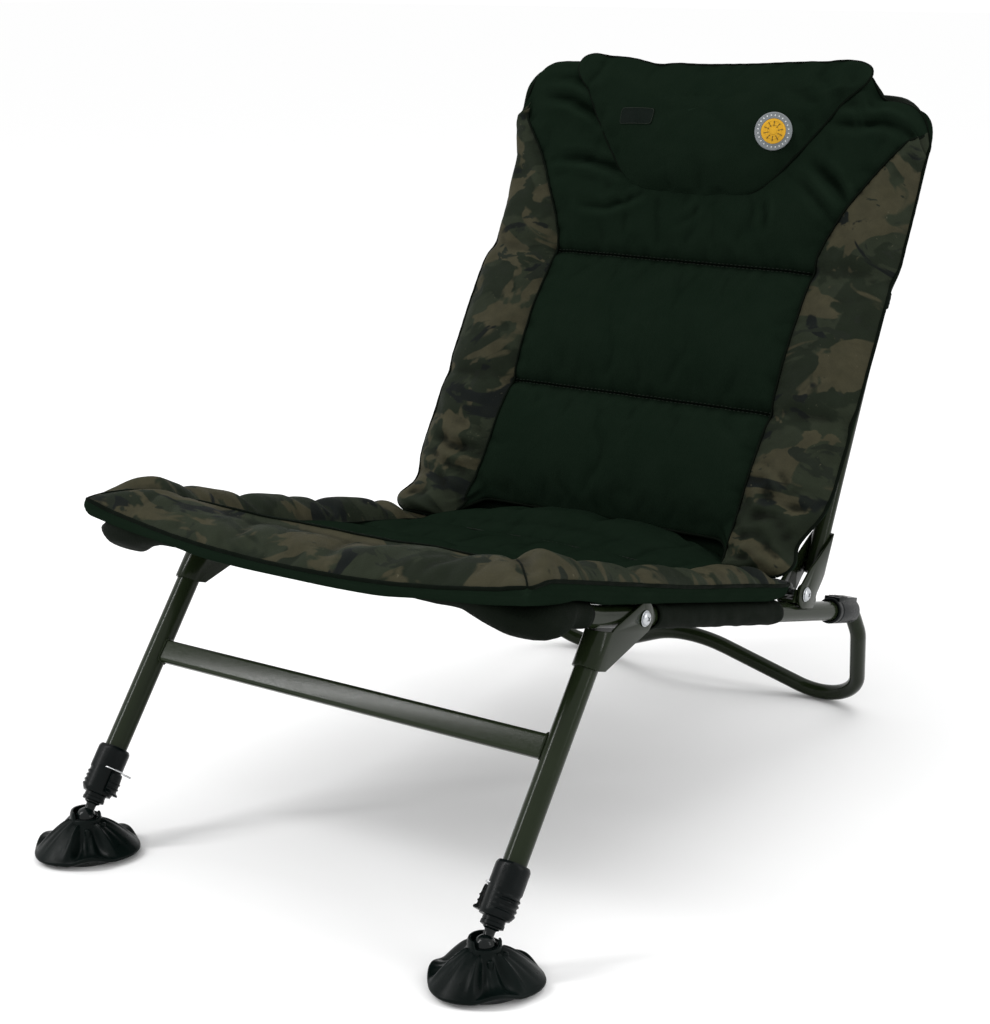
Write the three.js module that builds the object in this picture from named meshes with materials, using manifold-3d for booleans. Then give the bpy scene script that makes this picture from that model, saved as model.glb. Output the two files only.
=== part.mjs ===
// Low folding carp fishing chair: U-shaped seat frame, bent rear leg, folding
// front legs with sliding inner legs and mud feet, folding backrest, slings,
// padded seat, padded back and headrest pillow.
// Millimetres, +Z up, +Y to the rear, +X to the sitter's left hand side as seen
// from the front (the viewer's right). The origin is on the ground, at the
// middle of the chair's bounding box.
import * as THREE from 'three';
import { mergeVertices } from 'three/addons/utils/BufferGeometryUtils.js';
import Module from 'manifold-3d';

const wasm = await Module();
wasm.setup();

// ---------------------------------------------------------------- dimensions
const HALF = 237;            // rails, legs and back tubes lie at x = +-HALF
const SHIFT_Y = -400.23;      // moves the drawing origin (between the front balls) to the box centre

const RAIL_OD = 21, RAIL_ID = 19.2;      // seat frame tube
const REAR_OD = 17.6, REAR_ID = 14.8;    // bent rear leg tube
const LEG_OD = 22, LEG_ID = 18.8;        // front leg outer tube
const INNER_OD = 16, INNER_ID = 12.6;    // sliding inner leg
const BACK_OD = 19, BACK_ID = 16.4;      // backrest tube
const SIDES = 12;

// rail frame: origin on the front pivot, a runs rearwards along the rail, n up from it
const RAIL_O = [234.6, 265.9], RAIL_SLOPE = 14.13;
const FRONT_BAR_A = -182, RAIL_END_A = 461, FRONT_CORNER_R = 62;
const KINK_A = -66, FRONT_RISE = 10;     // ahead of the kink the rails rise to the front bar
// leg frame: origin at the ball's centre, s runs up the leg, n behind it
const BALL_Z = 35, LEG_LEAN = 37.71;
const LEG_TOP_S = 288, LEG_BOTTOM_S = 60, INNER_TOP_S = 214;
const COLLAR_S = [25, 73], BUSH_S = 17, COLLAR_R = 15.5;
const CROSSBAR_S = 179, CROSSBAR_H = 23, CROSSBAR_T = 11;
const BRACKET_S = 256;
// back frame: origin on the tube axis, s runs up the tube, h in front of it
const BACK_O = [621.3, 251], BACK_LEAN = 26.0;
const BACK_BOTTOM_S = -40, BACK_TOP_S = 484, BACK_CORNER_R = 48;
const SLING_BEND_S = 288, SLING_FOOT = [-14, 39.4];   // where the back sling leaves the tubes, and its lower edge (s, h)
// pivots
const PIVOT2 = { a: 334, n: 20.5 };      // back pivot in the rail frame
const BOLT_R = 3, HOLE_R = 3.4, HEAD_R = 7.5;
// rear leg, in its own slanted plane: s runs up from the ground line
const REAR_GROUND_Y = 799.3, REAR_TOP = [705.5, 147.4];
const BALL_R = 10, FOOT_R = 51.5;

// ------------------------------------------------------------------- helpers
const V = (x, y, z) => new THREE.Vector3(x, y, z);
const rad = (d) => (d * Math.PI) / 180;

function toManifold(geometry) {
  let g = geometry.clone();
  for (const name of Object.keys(g.attributes)) if (name !== 'position') g.deleteAttribute(name);
  g = mergeVertices(g, 1e-4);
  const index = g.index.array, tri = [];
  for (let i = 0; i < index.length; i += 3) {
    const [a, b, c] = [index[i], index[i + 1], index[i + 2]];
    if (a !== b && b !== c && a !== c) tri.push(a, b, c);
  }
  return new wasm.Manifold(new wasm.Mesh({
    numProp: 3,
    vertProperties: Float32Array.from(g.attributes.position.array),
    triVerts: Uint32Array.from(tri),
  }));
}

function toGeometry(manifold) {
  const m = manifold.getMesh();
  const g = new THREE.BufferGeometry();
  g.setAttribute('position', new THREE.BufferAttribute(Float32Array.from(m.vertProperties), 3));
  g.setIndex(new THREE.BufferAttribute(Uint32Array.from(m.triVerts), 1));
  return g;
}

const cut = (geometry, ...tools) => toGeometry(tools.reduce((m, t) => m.subtract(toManifold(t)), toManifold(geometry)));
const join = (...parts) => toGeometry(parts.slice(1).reduce((m, t) => m.add(toManifold(t)), toManifold(parts[0])));
const common = (a, b) => toGeometry(toManifold(a).intersect(toManifold(b)));

// a right-handed frame: columns u, v, w and an origin
function frame(u, v, w, o) {
  return new THREE.Matrix4().makeBasis(u, v, w).setPosition(o);
}

const ra = V(0, Math.cos(rad(RAIL_SLOPE)), -Math.sin(rad(RAIL_SLOPE)));
const rn = V(0, Math.sin(rad(RAIL_SLOPE)), Math.cos(rad(RAIL_SLOPE)));
const RAIL = frame(ra, rn, V(1, 0, 0), V(0, ...RAIL_O));            // (a, n, x)
const kink = Math.atan2(FRONT_RISE, KINK_A - FRONT_BAR_A);
const fa = ra.clone().multiplyScalar(Math.cos(kink)).addScaledVector(rn, -Math.sin(kink));
const fn = rn.clone().multiplyScalar(Math.cos(kink)).addScaledVector(ra, Math.sin(kink));
const frontO = V(0, ...RAIL_O).addScaledVector(ra, KINK_A).addScaledVector(fa, -KINK_A);
const FRONT_A = KINK_A - Math.hypot(FRONT_RISE, KINK_A - FRONT_BAR_A);   // the front bar in the risen part's frame
const frontPoint = (a, n, x = 0) => frontO.clone().addScaledVector(fa, a).addScaledVector(fn, n).add(V(x, 0, 0));
const ls = V(0, Math.sin(rad(LEG_LEAN)), Math.cos(rad(LEG_LEAN)));
const ln = V(0, Math.cos(rad(LEG_LEAN)), -Math.sin(rad(LEG_LEAN)));
const LEG = frame(ln, ls, V(1, 0, 0), V(0, 0, BALL_Z));             // (n, s, x)
const bs = V(0, Math.sin(rad(BACK_LEAN)), Math.cos(rad(BACK_LEAN)));
const bh = V(0, -Math.cos(rad(BACK_LEAN)), Math.sin(rad(BACK_LEAN)));
const BACK = frame(bs, bh, V(1, 0, 0), V(0, ...BACK_O));            // (s, h, x)

const railPoint = (a, n, x = 0) => V(a, n, x).applyMatrix4(RAIL);
const legPoint = (n, s, x = 0) => V(n, s, x).applyMatrix4(LEG);
const backPoint = (s, h, x = 0) => V(s, h, x).applyMatrix4(BACK);

const mirrored = (half) => [...half, ...half.slice().reverse().map(([x, y]) => [-x, y])];

function outline(points) {
  const shape = new THREE.Shape();
  points.forEach(([x, y], i) => (i ? shape.lineTo(x, y) : shape.moveTo(x, y)));
  shape.closePath();
  return shape;
}

const circle = (r, sides, turn = 0) => Array.from({ length: sides }, (_, i) => {
  const t = (2 * Math.PI * (i + turn)) / sides;
  return [r * Math.cos(t), r * Math.sin(t)];
});

// an outline in the first two axes of a frame, extruded along x from x0 to x1
function prism(points, x0, x1, matrix, holes = []) {
  const shape = outline(points);
  holes.forEach((h) => shape.holes.push(outline(h)));
  return new THREE.ExtrudeGeometry(shape, { depth: x1 - x0, bevelEnabled: false, steps: 1 })
    .translate(0, 0, x0).applyMatrix4(matrix);
}

// a path whose stations are kept as they are given
class Stations extends THREE.Curve {
  constructor(points) { super(); this.points = points; }
  getPoint(t, target = new THREE.Vector3()) {
    const k = Math.min(Math.max(t, 0), 1) * (this.points.length - 1);
    const i = Math.min(Math.floor(k + 1e-9), this.points.length - 2);
    return target.copy(this.points[i]).lerp(this.points[i + 1], Math.min(Math.max(k - i, 0), 1));
  }
  getPointAt(u, target) { return this.getPoint(u, target); }
  getTangent(t, target = new THREE.Vector3()) {
    const k = Math.round(t * (this.points.length - 1));
    const before = this.points[Math.max(k - 1, 0)], after = this.points[Math.min(k + 1, this.points.length - 1)];
    const here = this.points[k];
    const a = here.clone().sub(before), b = after.clone().sub(here);
    if (a.lengthSq()) a.normalize();
    if (b.lengthSq()) b.normalize();
    return target.copy(a).add(b).normalize();
  }
  getTangentAt(u, target) { return this.getTangent(u, target); }
}

// straight runs joined by round bends
function bent(corners, radii, step = 16) {
  const out = [corners[0].clone()];
  for (let i = 1; i < corners.length - 1; i++) {
    const p = corners[i];
    const u = corners[i - 1].clone().sub(p).normalize(), v = corners[i + 1].clone().sub(p).normalize();
    const turn = Math.PI - u.angleTo(v), r = radii[i - 1];
    const t = r * Math.tan(turn / 2);
    const middle = u.clone().add(v).normalize().multiplyScalar(r / Math.cos(turn / 2)).add(p);
    const from = p.clone().addScaledVector(u, t).sub(middle), to = p.clone().addScaledVector(v, t).sub(middle);
    const axis = from.clone().cross(to).normalize();
    const count = Math.max(2, Math.ceil((turn * 180) / Math.PI / step));
    for (let k = 0; k <= count; k++) out.push(from.clone().applyAxisAngle(axis, (turn * k) / count).add(middle));
  }
  out.push(corners[corners.length - 1].clone());
  return out;
}

function pipe(points, outer, inner, sides = SIDES, bore = 8) {
  const shape = outline(circle(outer / 2, sides, 0.5));
  if (inner) shape.holes.push(outline(circle(inner / 2, bore, 0.5)));
  return new THREE.ExtrudeGeometry(shape, {
    steps: points.length - 1, bevelEnabled: false, extrudePath: new Stations(points),
  });
}

const rod = (p, q, r, sides = 16) => {
  const d = q.clone().sub(p);
  return new THREE.CylinderGeometry(r, r, d.length(), sides)
    .applyQuaternion(new THREE.Quaternion().setFromUnitVectors(V(0, 1, 0), d.clone().normalize()))
    .translate(...p.clone().add(q).multiplyScalar(0.5).toArray());
};

// a profile of [radius, height] turned about an axis through p along d
function turned(profile, p, d, segments = 24, close = false) {
  const pts = profile.map(([r, z]) => new THREE.Vector2(r, z));
  if (close) pts.push(pts[0].clone());
  return new THREE.LatheGeometry(pts, segments)
    .applyQuaternion(new THREE.Quaternion().setFromUnitVectors(V(0, 1, 0), d.clone().normalize()))
    .translate(p.x, p.y, p.z);
}

// a turned profile always faces outwards after this
function facing(geometry) {
  const m = toManifold(geometry);
  if (m.volume() >= 0) return toGeometry(m);
  const g = geometry.clone(), index = g.index.array;
  for (let i = 0; i < index.length; i += 3) [index[i + 1], index[i + 2]] = [index[i + 2], index[i + 1]];
  return toGeometry(toManifold(g));
}

const arc = (cx, cy, r, a0, a1, count) => Array.from({ length: count + 1 }, (_, i) => {
  const t = rad(a0 + ((a1 - a0) * i) / count);
  return [cx + r * Math.cos(t), cy + r * Math.sin(t)];
});

// ----------------------------------------------------------------- materials
const paint = { color: 0x4a5138, roughness: 0.42, metalness: 0.35 };
const black = { color: 0x17191a, roughness: 0.45, metalness: 0 };
const zinc = { color: 0xb9bcc0, roughness: 0.3, metalness: 0.9 };
const wire = { color: 0xd0d3d6, roughness: 0.22, metalness: 1 };
const sling = { color: 0x121412, roughness: 0.8, metalness: 0 };
const cloth = { color: 0x1a241a, roughness: 0.75, metalness: 0 };

const chair = new THREE.Group();
const content = new THREE.Group();
content.position.set(0, SHIFT_Y, 0);
chair.add(content);

function add(name, geometry, look) {
  const g = toGeometry(toManifold(geometry));
  g.computeVertexNormals();
  const mesh = new THREE.Mesh(g, new THREE.MeshStandardMaterial(look));
  mesh.name = name;
  content.add(mesh);
  return mesh;
}

const sidesOf = [['left', -1], ['right', 1]];   // left and right as seen from the front

// ---------------------------------------------------------------- seat frame
{
  const z = (a, x) => railPoint(a, 0, x);
  const path = bent(
    [z(RAIL_END_A, -HALF), z(KINK_A, -HALF), frontPoint(FRONT_A, 0, -HALF), frontPoint(FRONT_A, 0, HALF), z(KINK_A, HALF), z(RAIL_END_A, HALF)],
    [200, FRONT_CORNER_R, FRONT_CORNER_R, 200]);
  let g = pipe(path, RAIL_OD, RAIL_ID, 12, 12);
  const tools = [];
  for (const [, k] of sidesOf)
    tools.push(rod(railPoint(0, 0, k * (HALF - 15)), railPoint(0, 0, k * (HALF + 15)), HOLE_R, 12));
  add('seat_frame', cut(g, ...tools), paint);
}

// bent rear leg, plugged into the open ends of the rails
{
  const g0 = V(0, REAR_GROUND_Y, REAR_OD / 2), top = V(0, ...REAR_TOP);
  const up = top.clone().sub(g0), long = up.length();
  up.normalize();
  const q = (x, s) => g0.clone().addScaledVector(up, s).add(V(x, 0, 0));
  const inside = (k) => railPoint(RAIL_END_A - 52, 0, k * HALF);
  const corner = (k) => railPoint((REAR_TOP[0] - RAIL_O[0]) / ra.y, 0, k * HALF);
  const path = bent(
    [inside(-1), corner(-1), q(-HALF, 128), q(-199.9, -28.5), q(0, 74.4), q(199.9, -28.5), q(HALF, 128), corner(1), inside(1)],
    [34, 80, 60, 107, 60, 80, 34], 15);
  const g = pipe(path, REAR_OD, REAR_ID, 10, 6);
  g.computeBoundingBox();
  g.translate(0, 0, -g.boundingBox.min.z);
  add('rear_leg', g, paint);
}

for (const [side, k] of sidesOf) {
  const x = k * HALF;
  // plastic clip over the joint between rail and rear leg
  const p = railPoint(RAIL_END_A - 34, 0, x), q = railPoint(RAIL_END_A + 18, 0, x);
  const ring = cut(rod(p, q, 14, 20), rod(railPoint(RAIL_END_A - 40, 0, x), railPoint(RAIL_END_A + 26, 0, x), 10.9, 16));
  const block = cut(
    prism([[RAIL_END_A - 30, 4], [RAIL_END_A + 16, 4], [RAIL_END_A + 16, 15.5], [RAIL_END_A - 30, 15.5]], x - 9, x + 9, RAIL),
    rod(railPoint(RAIL_END_A - 40, 0, x), railPoint(RAIL_END_A + 26, 0, x), 10.9, 16));
  add(`rail_clip_${side}`, join(ring, block), black);

  // folded lug that carries the back pivot, standing on the rail
  const { a, n } = PIVOT2;
  const lugProfile = [[a - 17, 10.9], [a + 17, 10.9], [a + 12, n + 4], ...arc(a, n, 9.5, 25, 155, 5), [a - 12, n + 4]];
  const lug = common(
    prism(lugProfile, x - 9, x + 9, RAIL),
    prism([[x - 8.6, 10], [x + 8.6, 10], [x + 8.6, 40], [x + 6.2, 40], [x + 6.2, 13.2], [x - 6.2, 13.2], [x - 6.2, 40], [x - 8.6, 40]],
      -(a + 30), -(a - 30), frame(V(1, 0, 0), rn, ra.clone().negate(), V(0, ...RAIL_O))));
  add(`back_lug_${side}`, cut(lug, rod(railPoint(a, n, x - 12), railPoint(a, n, x + 12), HOLE_R, 12)), paint);

  // bolts and nuts of both pivots
  const bolts = [['front_pivot', railPoint(0, 0, x), 13.4], ['back_pivot', railPoint(a, n, x), 13.1]];
  for (const [name, c, half] of bolts) {
    const out = V(k, 0, 0);
    const base = c.clone().addScaledVector(out, half + 0.3);
    const profile = [[0, -(2 * half + 7.5)], [BOLT_R - 0.6, -(2 * half + 7.5)], [BOLT_R, -(2 * half + 6.9)], [BOLT_R, 0],
      [HEAD_R, 0], [HEAD_R, 1.3], [HEAD_R - 1.4, 2.9], [HEAD_R - 4, 3.9], [0, 4.2]];
    add(`${name}_bolt_${side}`, facing(turned(profile, base, out, 12)), zinc);
    const nutBase = c.clone().addScaledVector(out, -(half + 0.3));
    const nut = cut(rod(nutBase, nutBase.clone().addScaledVector(out, -5), 6.35, 6),
      rod(nutBase.clone().addScaledVector(out, 3), nutBase.clone().addScaledVector(out, -9), HOLE_R - 0.1, 12));
    add(`${name}_nut_${side}`, nut, zinc);
  }
}

// ----------------------------------------------------------------- seat sling
// each sling is a sheet whose edges run into the walls of the sleeves round the tubes
function sheet(from, top, r, notch, sleeveFrom, inset, depth, z0, matrix, tail) {
  const w = HALF - inset, c = r - inset, k = top + (top < 0 ? r : -r), turn = top < 0 ? -1 : 1;
  const corner = arc(HALF - r, k, c, 0, turn * 90, 5);
  const half = [...tail, [w, sleeveFrom], ...notch, ...corner];
  const ring = [...half, ...half.slice().reverse().map(([x, y]) => [-x, y])];
  return new THREE.ExtrudeGeometry(outline(ring), { depth, bevelEnabled: false }).translate(0, 0, z0).applyMatrix4(matrix);
}
const onSeat = frame(V(1, 0, 0), ra, rn, V(0, ...RAIL_O));                  // (x, a, n)
const onBack = frame(V(1, 0, 0), bs, bh, V(0, ...BACK_O));                  // (x, s, h)
{
  const inner = 10.9 * 2, outer = 12.7 * 2;
  const z = (a, x) => railPoint(a, 0, x);
  const u = pipe(bent([frontPoint(-77, 0, -HALF), frontPoint(FRONT_A, 0, -HALF), frontPoint(FRONT_A, 0, HALF), frontPoint(-77, 0, HALF)],
    [FRONT_CORNER_R, FRONT_CORNER_R]), outer, inner, 12, 12);
  const l = pipe([z(28, -HALF), z(290, -HALF)], outer, inner, 12, 12), r = pipe([z(28, HALF), z(290, HALF)], outer, inner, 12, 12);
  const w = HALF - 5.8;
  const onFront = frame(V(1, 0, 0), fa, fn, frontO);                         // (x, a, n) of the risen part
  const flat = new THREE.ExtrudeGeometry(outline(mirrored([[214, KINK_A], [214, 28.7], [w, 28.7], [w, 289.3]])), { depth: 1.6, bevelEnabled: false })
    .translate(0, 0, 9.4).applyMatrix4(onSeat);
  const front = sheet(0, FRONT_A, FRONT_CORNER_R, [], -77.7, 5.8, 1.6, 9.4, onFront, [[214, KINK_A + 4], [214, -77.7]]);
  add('seat_deck', join(flat, front, u, l, r), sling);
}

// ------------------------------------------------------------------ seat pad
// outlines of the soft parts lie in (x, along) and are extruded off the frame plane
function slab(points, h0, h1, matrix, edge = 5) {
  const shape = outline(points);
  return new THREE.ExtrudeGeometry(shape, {
    depth: h1 - h0 - 2 * edge, bevelEnabled: true, bevelSize: edge, bevelOffset: -edge, bevelThickness: edge, bevelSegments: 2,
  }).translate(0, 0, h0 + edge).applyMatrix4(matrix);
}

{
  // the pad lies on the rails behind the kink, and on the risen front bar ahead of it
  const block = slab(mirrored([[252, 296], [260, 240], [260, -170], [252, -196], [232, -212]].reverse().concat([[212, 312], [206, 330]])), 16.2, 46, onSeat, 7);
  const rise = [[KINK_A - 8, 10], [KINK_A - 8, 16.2], [FRONT_BAR_A, 16.2 + FRONT_RISE], [-230, 18 + FRONT_RISE], [-230, 10]];
  add('seat_pad', cut(block, prism(rise, -300, 300, RAIL)), cloth);
}

// strip of plain cloth that joins the two pads behind the crease
{
  const line = [[-30.5, 47], [-44, 38], [-66, 33.4]];
  const back = line.map(([s, h]) => [s + 0.7, h - 2.1]).reverse();
  add('pad_hinge_strip', prism([...line, ...back].reverse(), -200, 200, BACK), cloth);
}

// ---------------------------------------------------------------- front legs
for (const [side, k] of sidesOf) {
  const x = k * HALF;
  add(`leg_tube_${side}`, pipe([legPoint(0, LEG_BOTTOM_S, x), legPoint(0, LEG_TOP_S, x)], LEG_OD, LEG_ID, 16, 12), paint);
  add(`inner_leg_${side}`, pipe([legPoint(0, 17, x), legPoint(0, INNER_TOP_S, x)], INNER_OD, INNER_ID, 14, 12), black);

  // knuckle folded round the leg's top, with two flanges to the pivot
  const r0 = 11.3, r1 = 13.4, reach = 70;
  const section = [...arc(0, 0, r1, 180, 360, 10), [r1, reach], [r0, reach], ...arc(0, 0, r0, 360, 180, 10), [-r0, reach], [-r1, reach]]
    .map(([px, n]) => [px, n]);
  // the section lies in (x, n) and runs along s
  const sleeve = new THREE.ExtrudeGeometry(outline(section), { depth: 110, bevelEnabled: false })
    .applyMatrix4(frame(V(1, 0, 0), ln, ls, legPoint(0, 242, x)));
  const pn = V(0, 234.6, 265.9).sub(legPoint(0, 0)).dot(ln), ps = V(0, 234.6, 265.9).sub(legPoint(0, 0)).dot(ls);
  const side2 = [[-16, BRACKET_S - 2], [0, BRACKET_S], [11, BRACKET_S + 4], ...arc(pn, ps, 15.5, -28, 130, 9), [5, 303], [0.3, 296], [0, 294], [-16, 287]];
  const knuckle = common(sleeve, prism(side2, -20 + x, 20 + x, LEG));
  add(`leg_bracket_${side}`, cut(knuckle, rod(railPoint(0, 0, x - 20), railPoint(0, 0, x + 20), HOLE_R, 14)), paint);

  // lock collar with neck bush
  const up = ls, base = legPoint(0, 0, x);
  const [c0, c1] = COLLAR_S;
  const collar = [[8.4, BUSH_S], [10.2, BUSH_S], [10.3, c0 - 0.4], [13.6, c0], [COLLAR_R, c0 + 3], [COLLAR_R, c0 + 22], [COLLAR_R + 0.7, c0 + 25],
    [COLLAR_R + 0.7, c1 - 3], [COLLAR_R - 1.5, c1], [11.4, c1], [11.4, LEG_BOTTOM_S - 2], [8.4, LEG_BOTTOM_S - 2]];
  add(`lock_collar_${side}`, facing(turned(collar, base, up, 16, true)), black);

  // thumb lever on the collar's inner side, and the wire clip above it
  const inner = -k;
  const u = V(inner, 0, 0), w = ls.clone(), v = w.clone().cross(u);
  const about = (s) => frame(u, v, w, legPoint(0, s, x));
  const plate = new THREE.ExtrudeGeometry(outline([...arc(0, 0, 18.9, -27, 27, 4), ...arc(0, 0, 16.6, 27, -27, 4)]), { depth: 22, bevelEnabled: false }).applyMatrix4(about(27.5));
  const lip = new THREE.ExtrudeGeometry(outline([...arc(0, 0, 21.6, -22, 22, 4), ...arc(0, 0, 17.2, 22, -22, 4)]), { depth: 2.4, bevelEnabled: false }).applyMatrix4(about(27.5));
  const rib1 = new THREE.ExtrudeGeometry(outline([...arc(0, 0, 19.9, -24, 24, 4), ...arc(0, 0, 17.2, 24, -24, 4)]), { depth: 1.4, bevelEnabled: false }).applyMatrix4(about(34));
  const rib2 = new THREE.ExtrudeGeometry(outline([...arc(0, 0, 19.9, -24, 24, 4), ...arc(0, 0, 17.2, 24, -24, 4)]), { depth: 1.4, bevelEnabled: false }).applyMatrix4(about(39));
  add(`lock_lever_${side}`, join(plate, lip, rib1, rib2), black);
  const loop = [];
  for (let t = -46; t <= 38; t += 12) loop.push(V(Math.cos(rad(t)) * 17.3, Math.sin(rad(t)) * 17.3, 0).applyMatrix4(about(51.4)));
  loop.push(V(Math.cos(rad(46)) * 25, Math.sin(rad(46)) * 25, 0).applyMatrix4(about(51.4)));
  add(`lock_wire_${side}`, pipe(loop, 1.8, 0, 6), wire);

  // ball plug, socket ring and mud foot
  const ball = [];
  for (let t = -90; t <= 60; t += 25) ball.push([BALL_R * Math.cos(rad(t)), BALL_R * Math.sin(rad(t))]);
  ball[0] = [0, -BALL_R];
  ball.push([5.2, 10.5], [5.2, 14.6], [7.4, 15.8], [7.4, 16.6], [5.8, 16.7], [5.8, 40], [0, 40]);
  add(`ball_stem_${side}`, facing(turned(ball, base, up, 16)), black);
  const cup = [];
  for (let t = -66; t <= 4; t += 17.5) cup.push([11.8 * Math.cos(rad(t)), 11.8 * Math.sin(rad(t))]);
  for (let t = 4; t >= -66; t -= 17.5) cup.push([10.4 * Math.cos(rad(t)), 10.4 * Math.sin(rad(t))]);
  add(`socket_ring_${side}`, facing(turned(cup, base, V(0, 0, 1), 16, true)), black);
  const foot = [];
  for (let t = -90; t <= 0; t += 18) foot.push([12.2 * Math.cos(rad(t)), 12.2 * Math.sin(rad(t))]);
  foot[0] = [0, -12.2];
  foot.push([12.2, 1.5], [14.8, 1.5], [15, -8], [19, -14.5], [28, -20.5], [38, -26], [47, -29.8], [FOOT_R, -32.4], [FOOT_R, -BALL_Z],
    [44, -BALL_Z], [36, -29.6], [26, -24.4], [15, -18.2], [0, -16]);
  add(`mud_foot_${side}`, facing(turned(foot, base, V(0, 0, 1), 24)), black);
}

// crossbar, fish-mouthed against both leg tubes
{
  const h = CROSSBAR_H / 2, t = CROSSBAR_T / 2, c = 3.2;
  const box = (dh, dt, cc) => [[-dt, -dh + cc], [-dt + cc, -dh], [dt - cc, -dh], [dt, -dh + cc], [dt, dh - cc], [dt - cc, dh], [-dt + cc, dh], [-dt, dh - cc]]
    .map(([n, s]) => [n, s + CROSSBAR_S]);
  const bar = prism(box(h, t, c), -HALF, HALF, LEG, [box(h - 1.4, t - 1.4, 2.4)]);
  add('leg_crossbar', cut(bar, ...sidesOf.map(([, k]) =>
    rod(legPoint(0, CROSSBAR_S - 40, k * HALF), legPoint(0, CROSSBAR_S + 40, k * HALF), LEG_OD / 2 + 0.3, 16))), paint);
}

// ---------------------------------------------------------------- back frame
{
  const z = (s, x) => backPoint(s, 0, x);
  add('back_frame', pipe(bent([z(BACK_BOTTOM_S, -HALF), z(BACK_TOP_S, -HALF), z(BACK_TOP_S, HALF), z(BACK_BOTTOM_S, HALF)],
    [BACK_CORNER_R, BACK_CORNER_R]), BACK_OD, BACK_ID), paint);
}

for (const [side, k] of sidesOf) {
  const x = k * HALF;
  // channel plate wrapped round the tube's foot, with a boss at the pivot
  const pv = railPoint(PIVOT2.a, PIVOT2.n).sub(backPoint(0, 0));
  const ps = pv.dot(bs), ph = pv.dot(bh);
  const r0 = 10.9, r1 = 13.1, reach = 62;
  const section = [...arc(0, 0, r1, 180, 360, 10), [r1, reach], [r0, reach], ...arc(0, 0, r0, 360, 180, 10), [-r0, reach], [-r1, reach]];
  // the section lies in (x, h) and runs along s
  const sleeve = new THREE.ExtrudeGeometry(outline(section), { depth: 130, bevelEnabled: false })
    .applyMatrix4(frame(V(1, 0, 0), bh, bs.clone().negate(), backPoint(30, 0, x)));
  const profile = [[9, -15], [6, -4], [-12, 9.8], [-27, 21], [-39.5, 32.5], ...arc(ps, ph, 15, 70, 200, 7), [-77, 6], [-60, 5], [-40, -3], [-31, -15]];
  const plate = common(sleeve, prism(profile.reverse(), x - 16, x + 16, BACK));
  const stop = railPoint(361, 14.2, x);
  const bar = rod(stop.clone().add(V(-12, 0, 0)), stop.clone().add(V(12, 0, 0)), 3, 10);
  add(`back_pivot_plate_${side}`, cut(join(plate, bar), rod(railPoint(PIVOT2.a, PIVOT2.n, x - 20), railPoint(PIVOT2.a, PIVOT2.n, x + 20), HOLE_R, 14)), paint);
  // elastic loop that holds the pad to the tube
  const loop = cut(rod(backPoint(256, 0, x), backPoint(274, 0, x), 12.1, 16), rod(backPoint(250, 0, x), backPoint(280, 0, x), 9.9, 14));
  add(`pad_strap_${side}`, loop, sling);
}

// --------------------------------------------------------------- back sling
// above SLING_BEND_S the sling lies on the tubes; below it leaves them and runs
// forward to the rear of the seat, and the pad follows it
{
  const inner = 9.9 * 2, outer = 11.7 * 2, from = 284;
  const z = (s, x) => backPoint(s, 0, x);
  const u = pipe(bent([z(from, -HALF), z(BACK_TOP_S, -HALF), z(BACK_TOP_S, HALF), z(from, HALF)],
    [BACK_CORNER_R, BACK_CORNER_R]), outer, inner, 12, 12);
  const flat = sheet(-14, BACK_TOP_S, BACK_CORNER_R, [], SLING_BEND_S, 5.2, 1.6, 8.6, onBack, []);
  const seam = rod(backPoint(SLING_BEND_S, 9.4, -204), backPoint(SLING_BEND_S, 9.4, 204), 1.7, 10);
  const [s0, h0] = SLING_FOOT, run = Math.hypot(SLING_BEND_S - s0, h0 - 9.4);
  const tn = [(0.8 * (h0 - 9.4)) / run, (0.8 * (SLING_BEND_S - s0)) / run];
  const lower = prism([[SLING_BEND_S - tn[0], 9.4 - tn[1]], [SLING_BEND_S + tn[0], 9.4 + tn[1]], [s0 + tn[0], h0 + tn[1]], [s0 - tn[0], h0 - tn[1]]],
    -204, 204, BACK);
  add('back_deck', join(flat, u, seam, lower), sling);
}

// ------------------------------------------- back pad, headrest, badge, label
{
  const shape = prism([[-28, 45.5], [-28, 60], [-22, 67], [40, 64], [130, 56], [230, 42], [300, 39], [420, 42], [500, 42], [510, 35], [510, 12.6], [292, 12.6]].reverse(), -280, 280, BACK);
  const plan = slab(mirrored([[186, -28], [214, -18], [238, 10], [252, 50], [260, 90], [260, 440], [246, 474], [196, 510]]), 0, 90, onBack, 1);
  add('back_pad', common(shape, plan), cloth);
}
add('headrest_pillow', slab(mirrored([[48, 362], [98, 372], [136, 396], [160, 432], [172, 470], [184, 516]]), 42.5, 61, onBack, 5), cloth);
add('round_badge', rod(backPoint(425, 61.3, 97), backPoint(425, 63.6, 97), 21, 28), { color: 0x8a8d86, roughness: 0.5, metalness: 0 });
add('label_tab', prism([[423, 61.3], [443, 61.3], [443, 62.9], [423, 62.9]], -100, -54, BACK), sling);

export default chair;
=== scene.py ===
# Low folding chair: finish of every surface, tubes, fittings, slings and padded parts.
# Lengths in the tables below are in millimetres; everything placed is in metres.
import bpy
import bmesh
import math
import numpy as np
from mathutils import Vector, Matrix, noise


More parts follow.
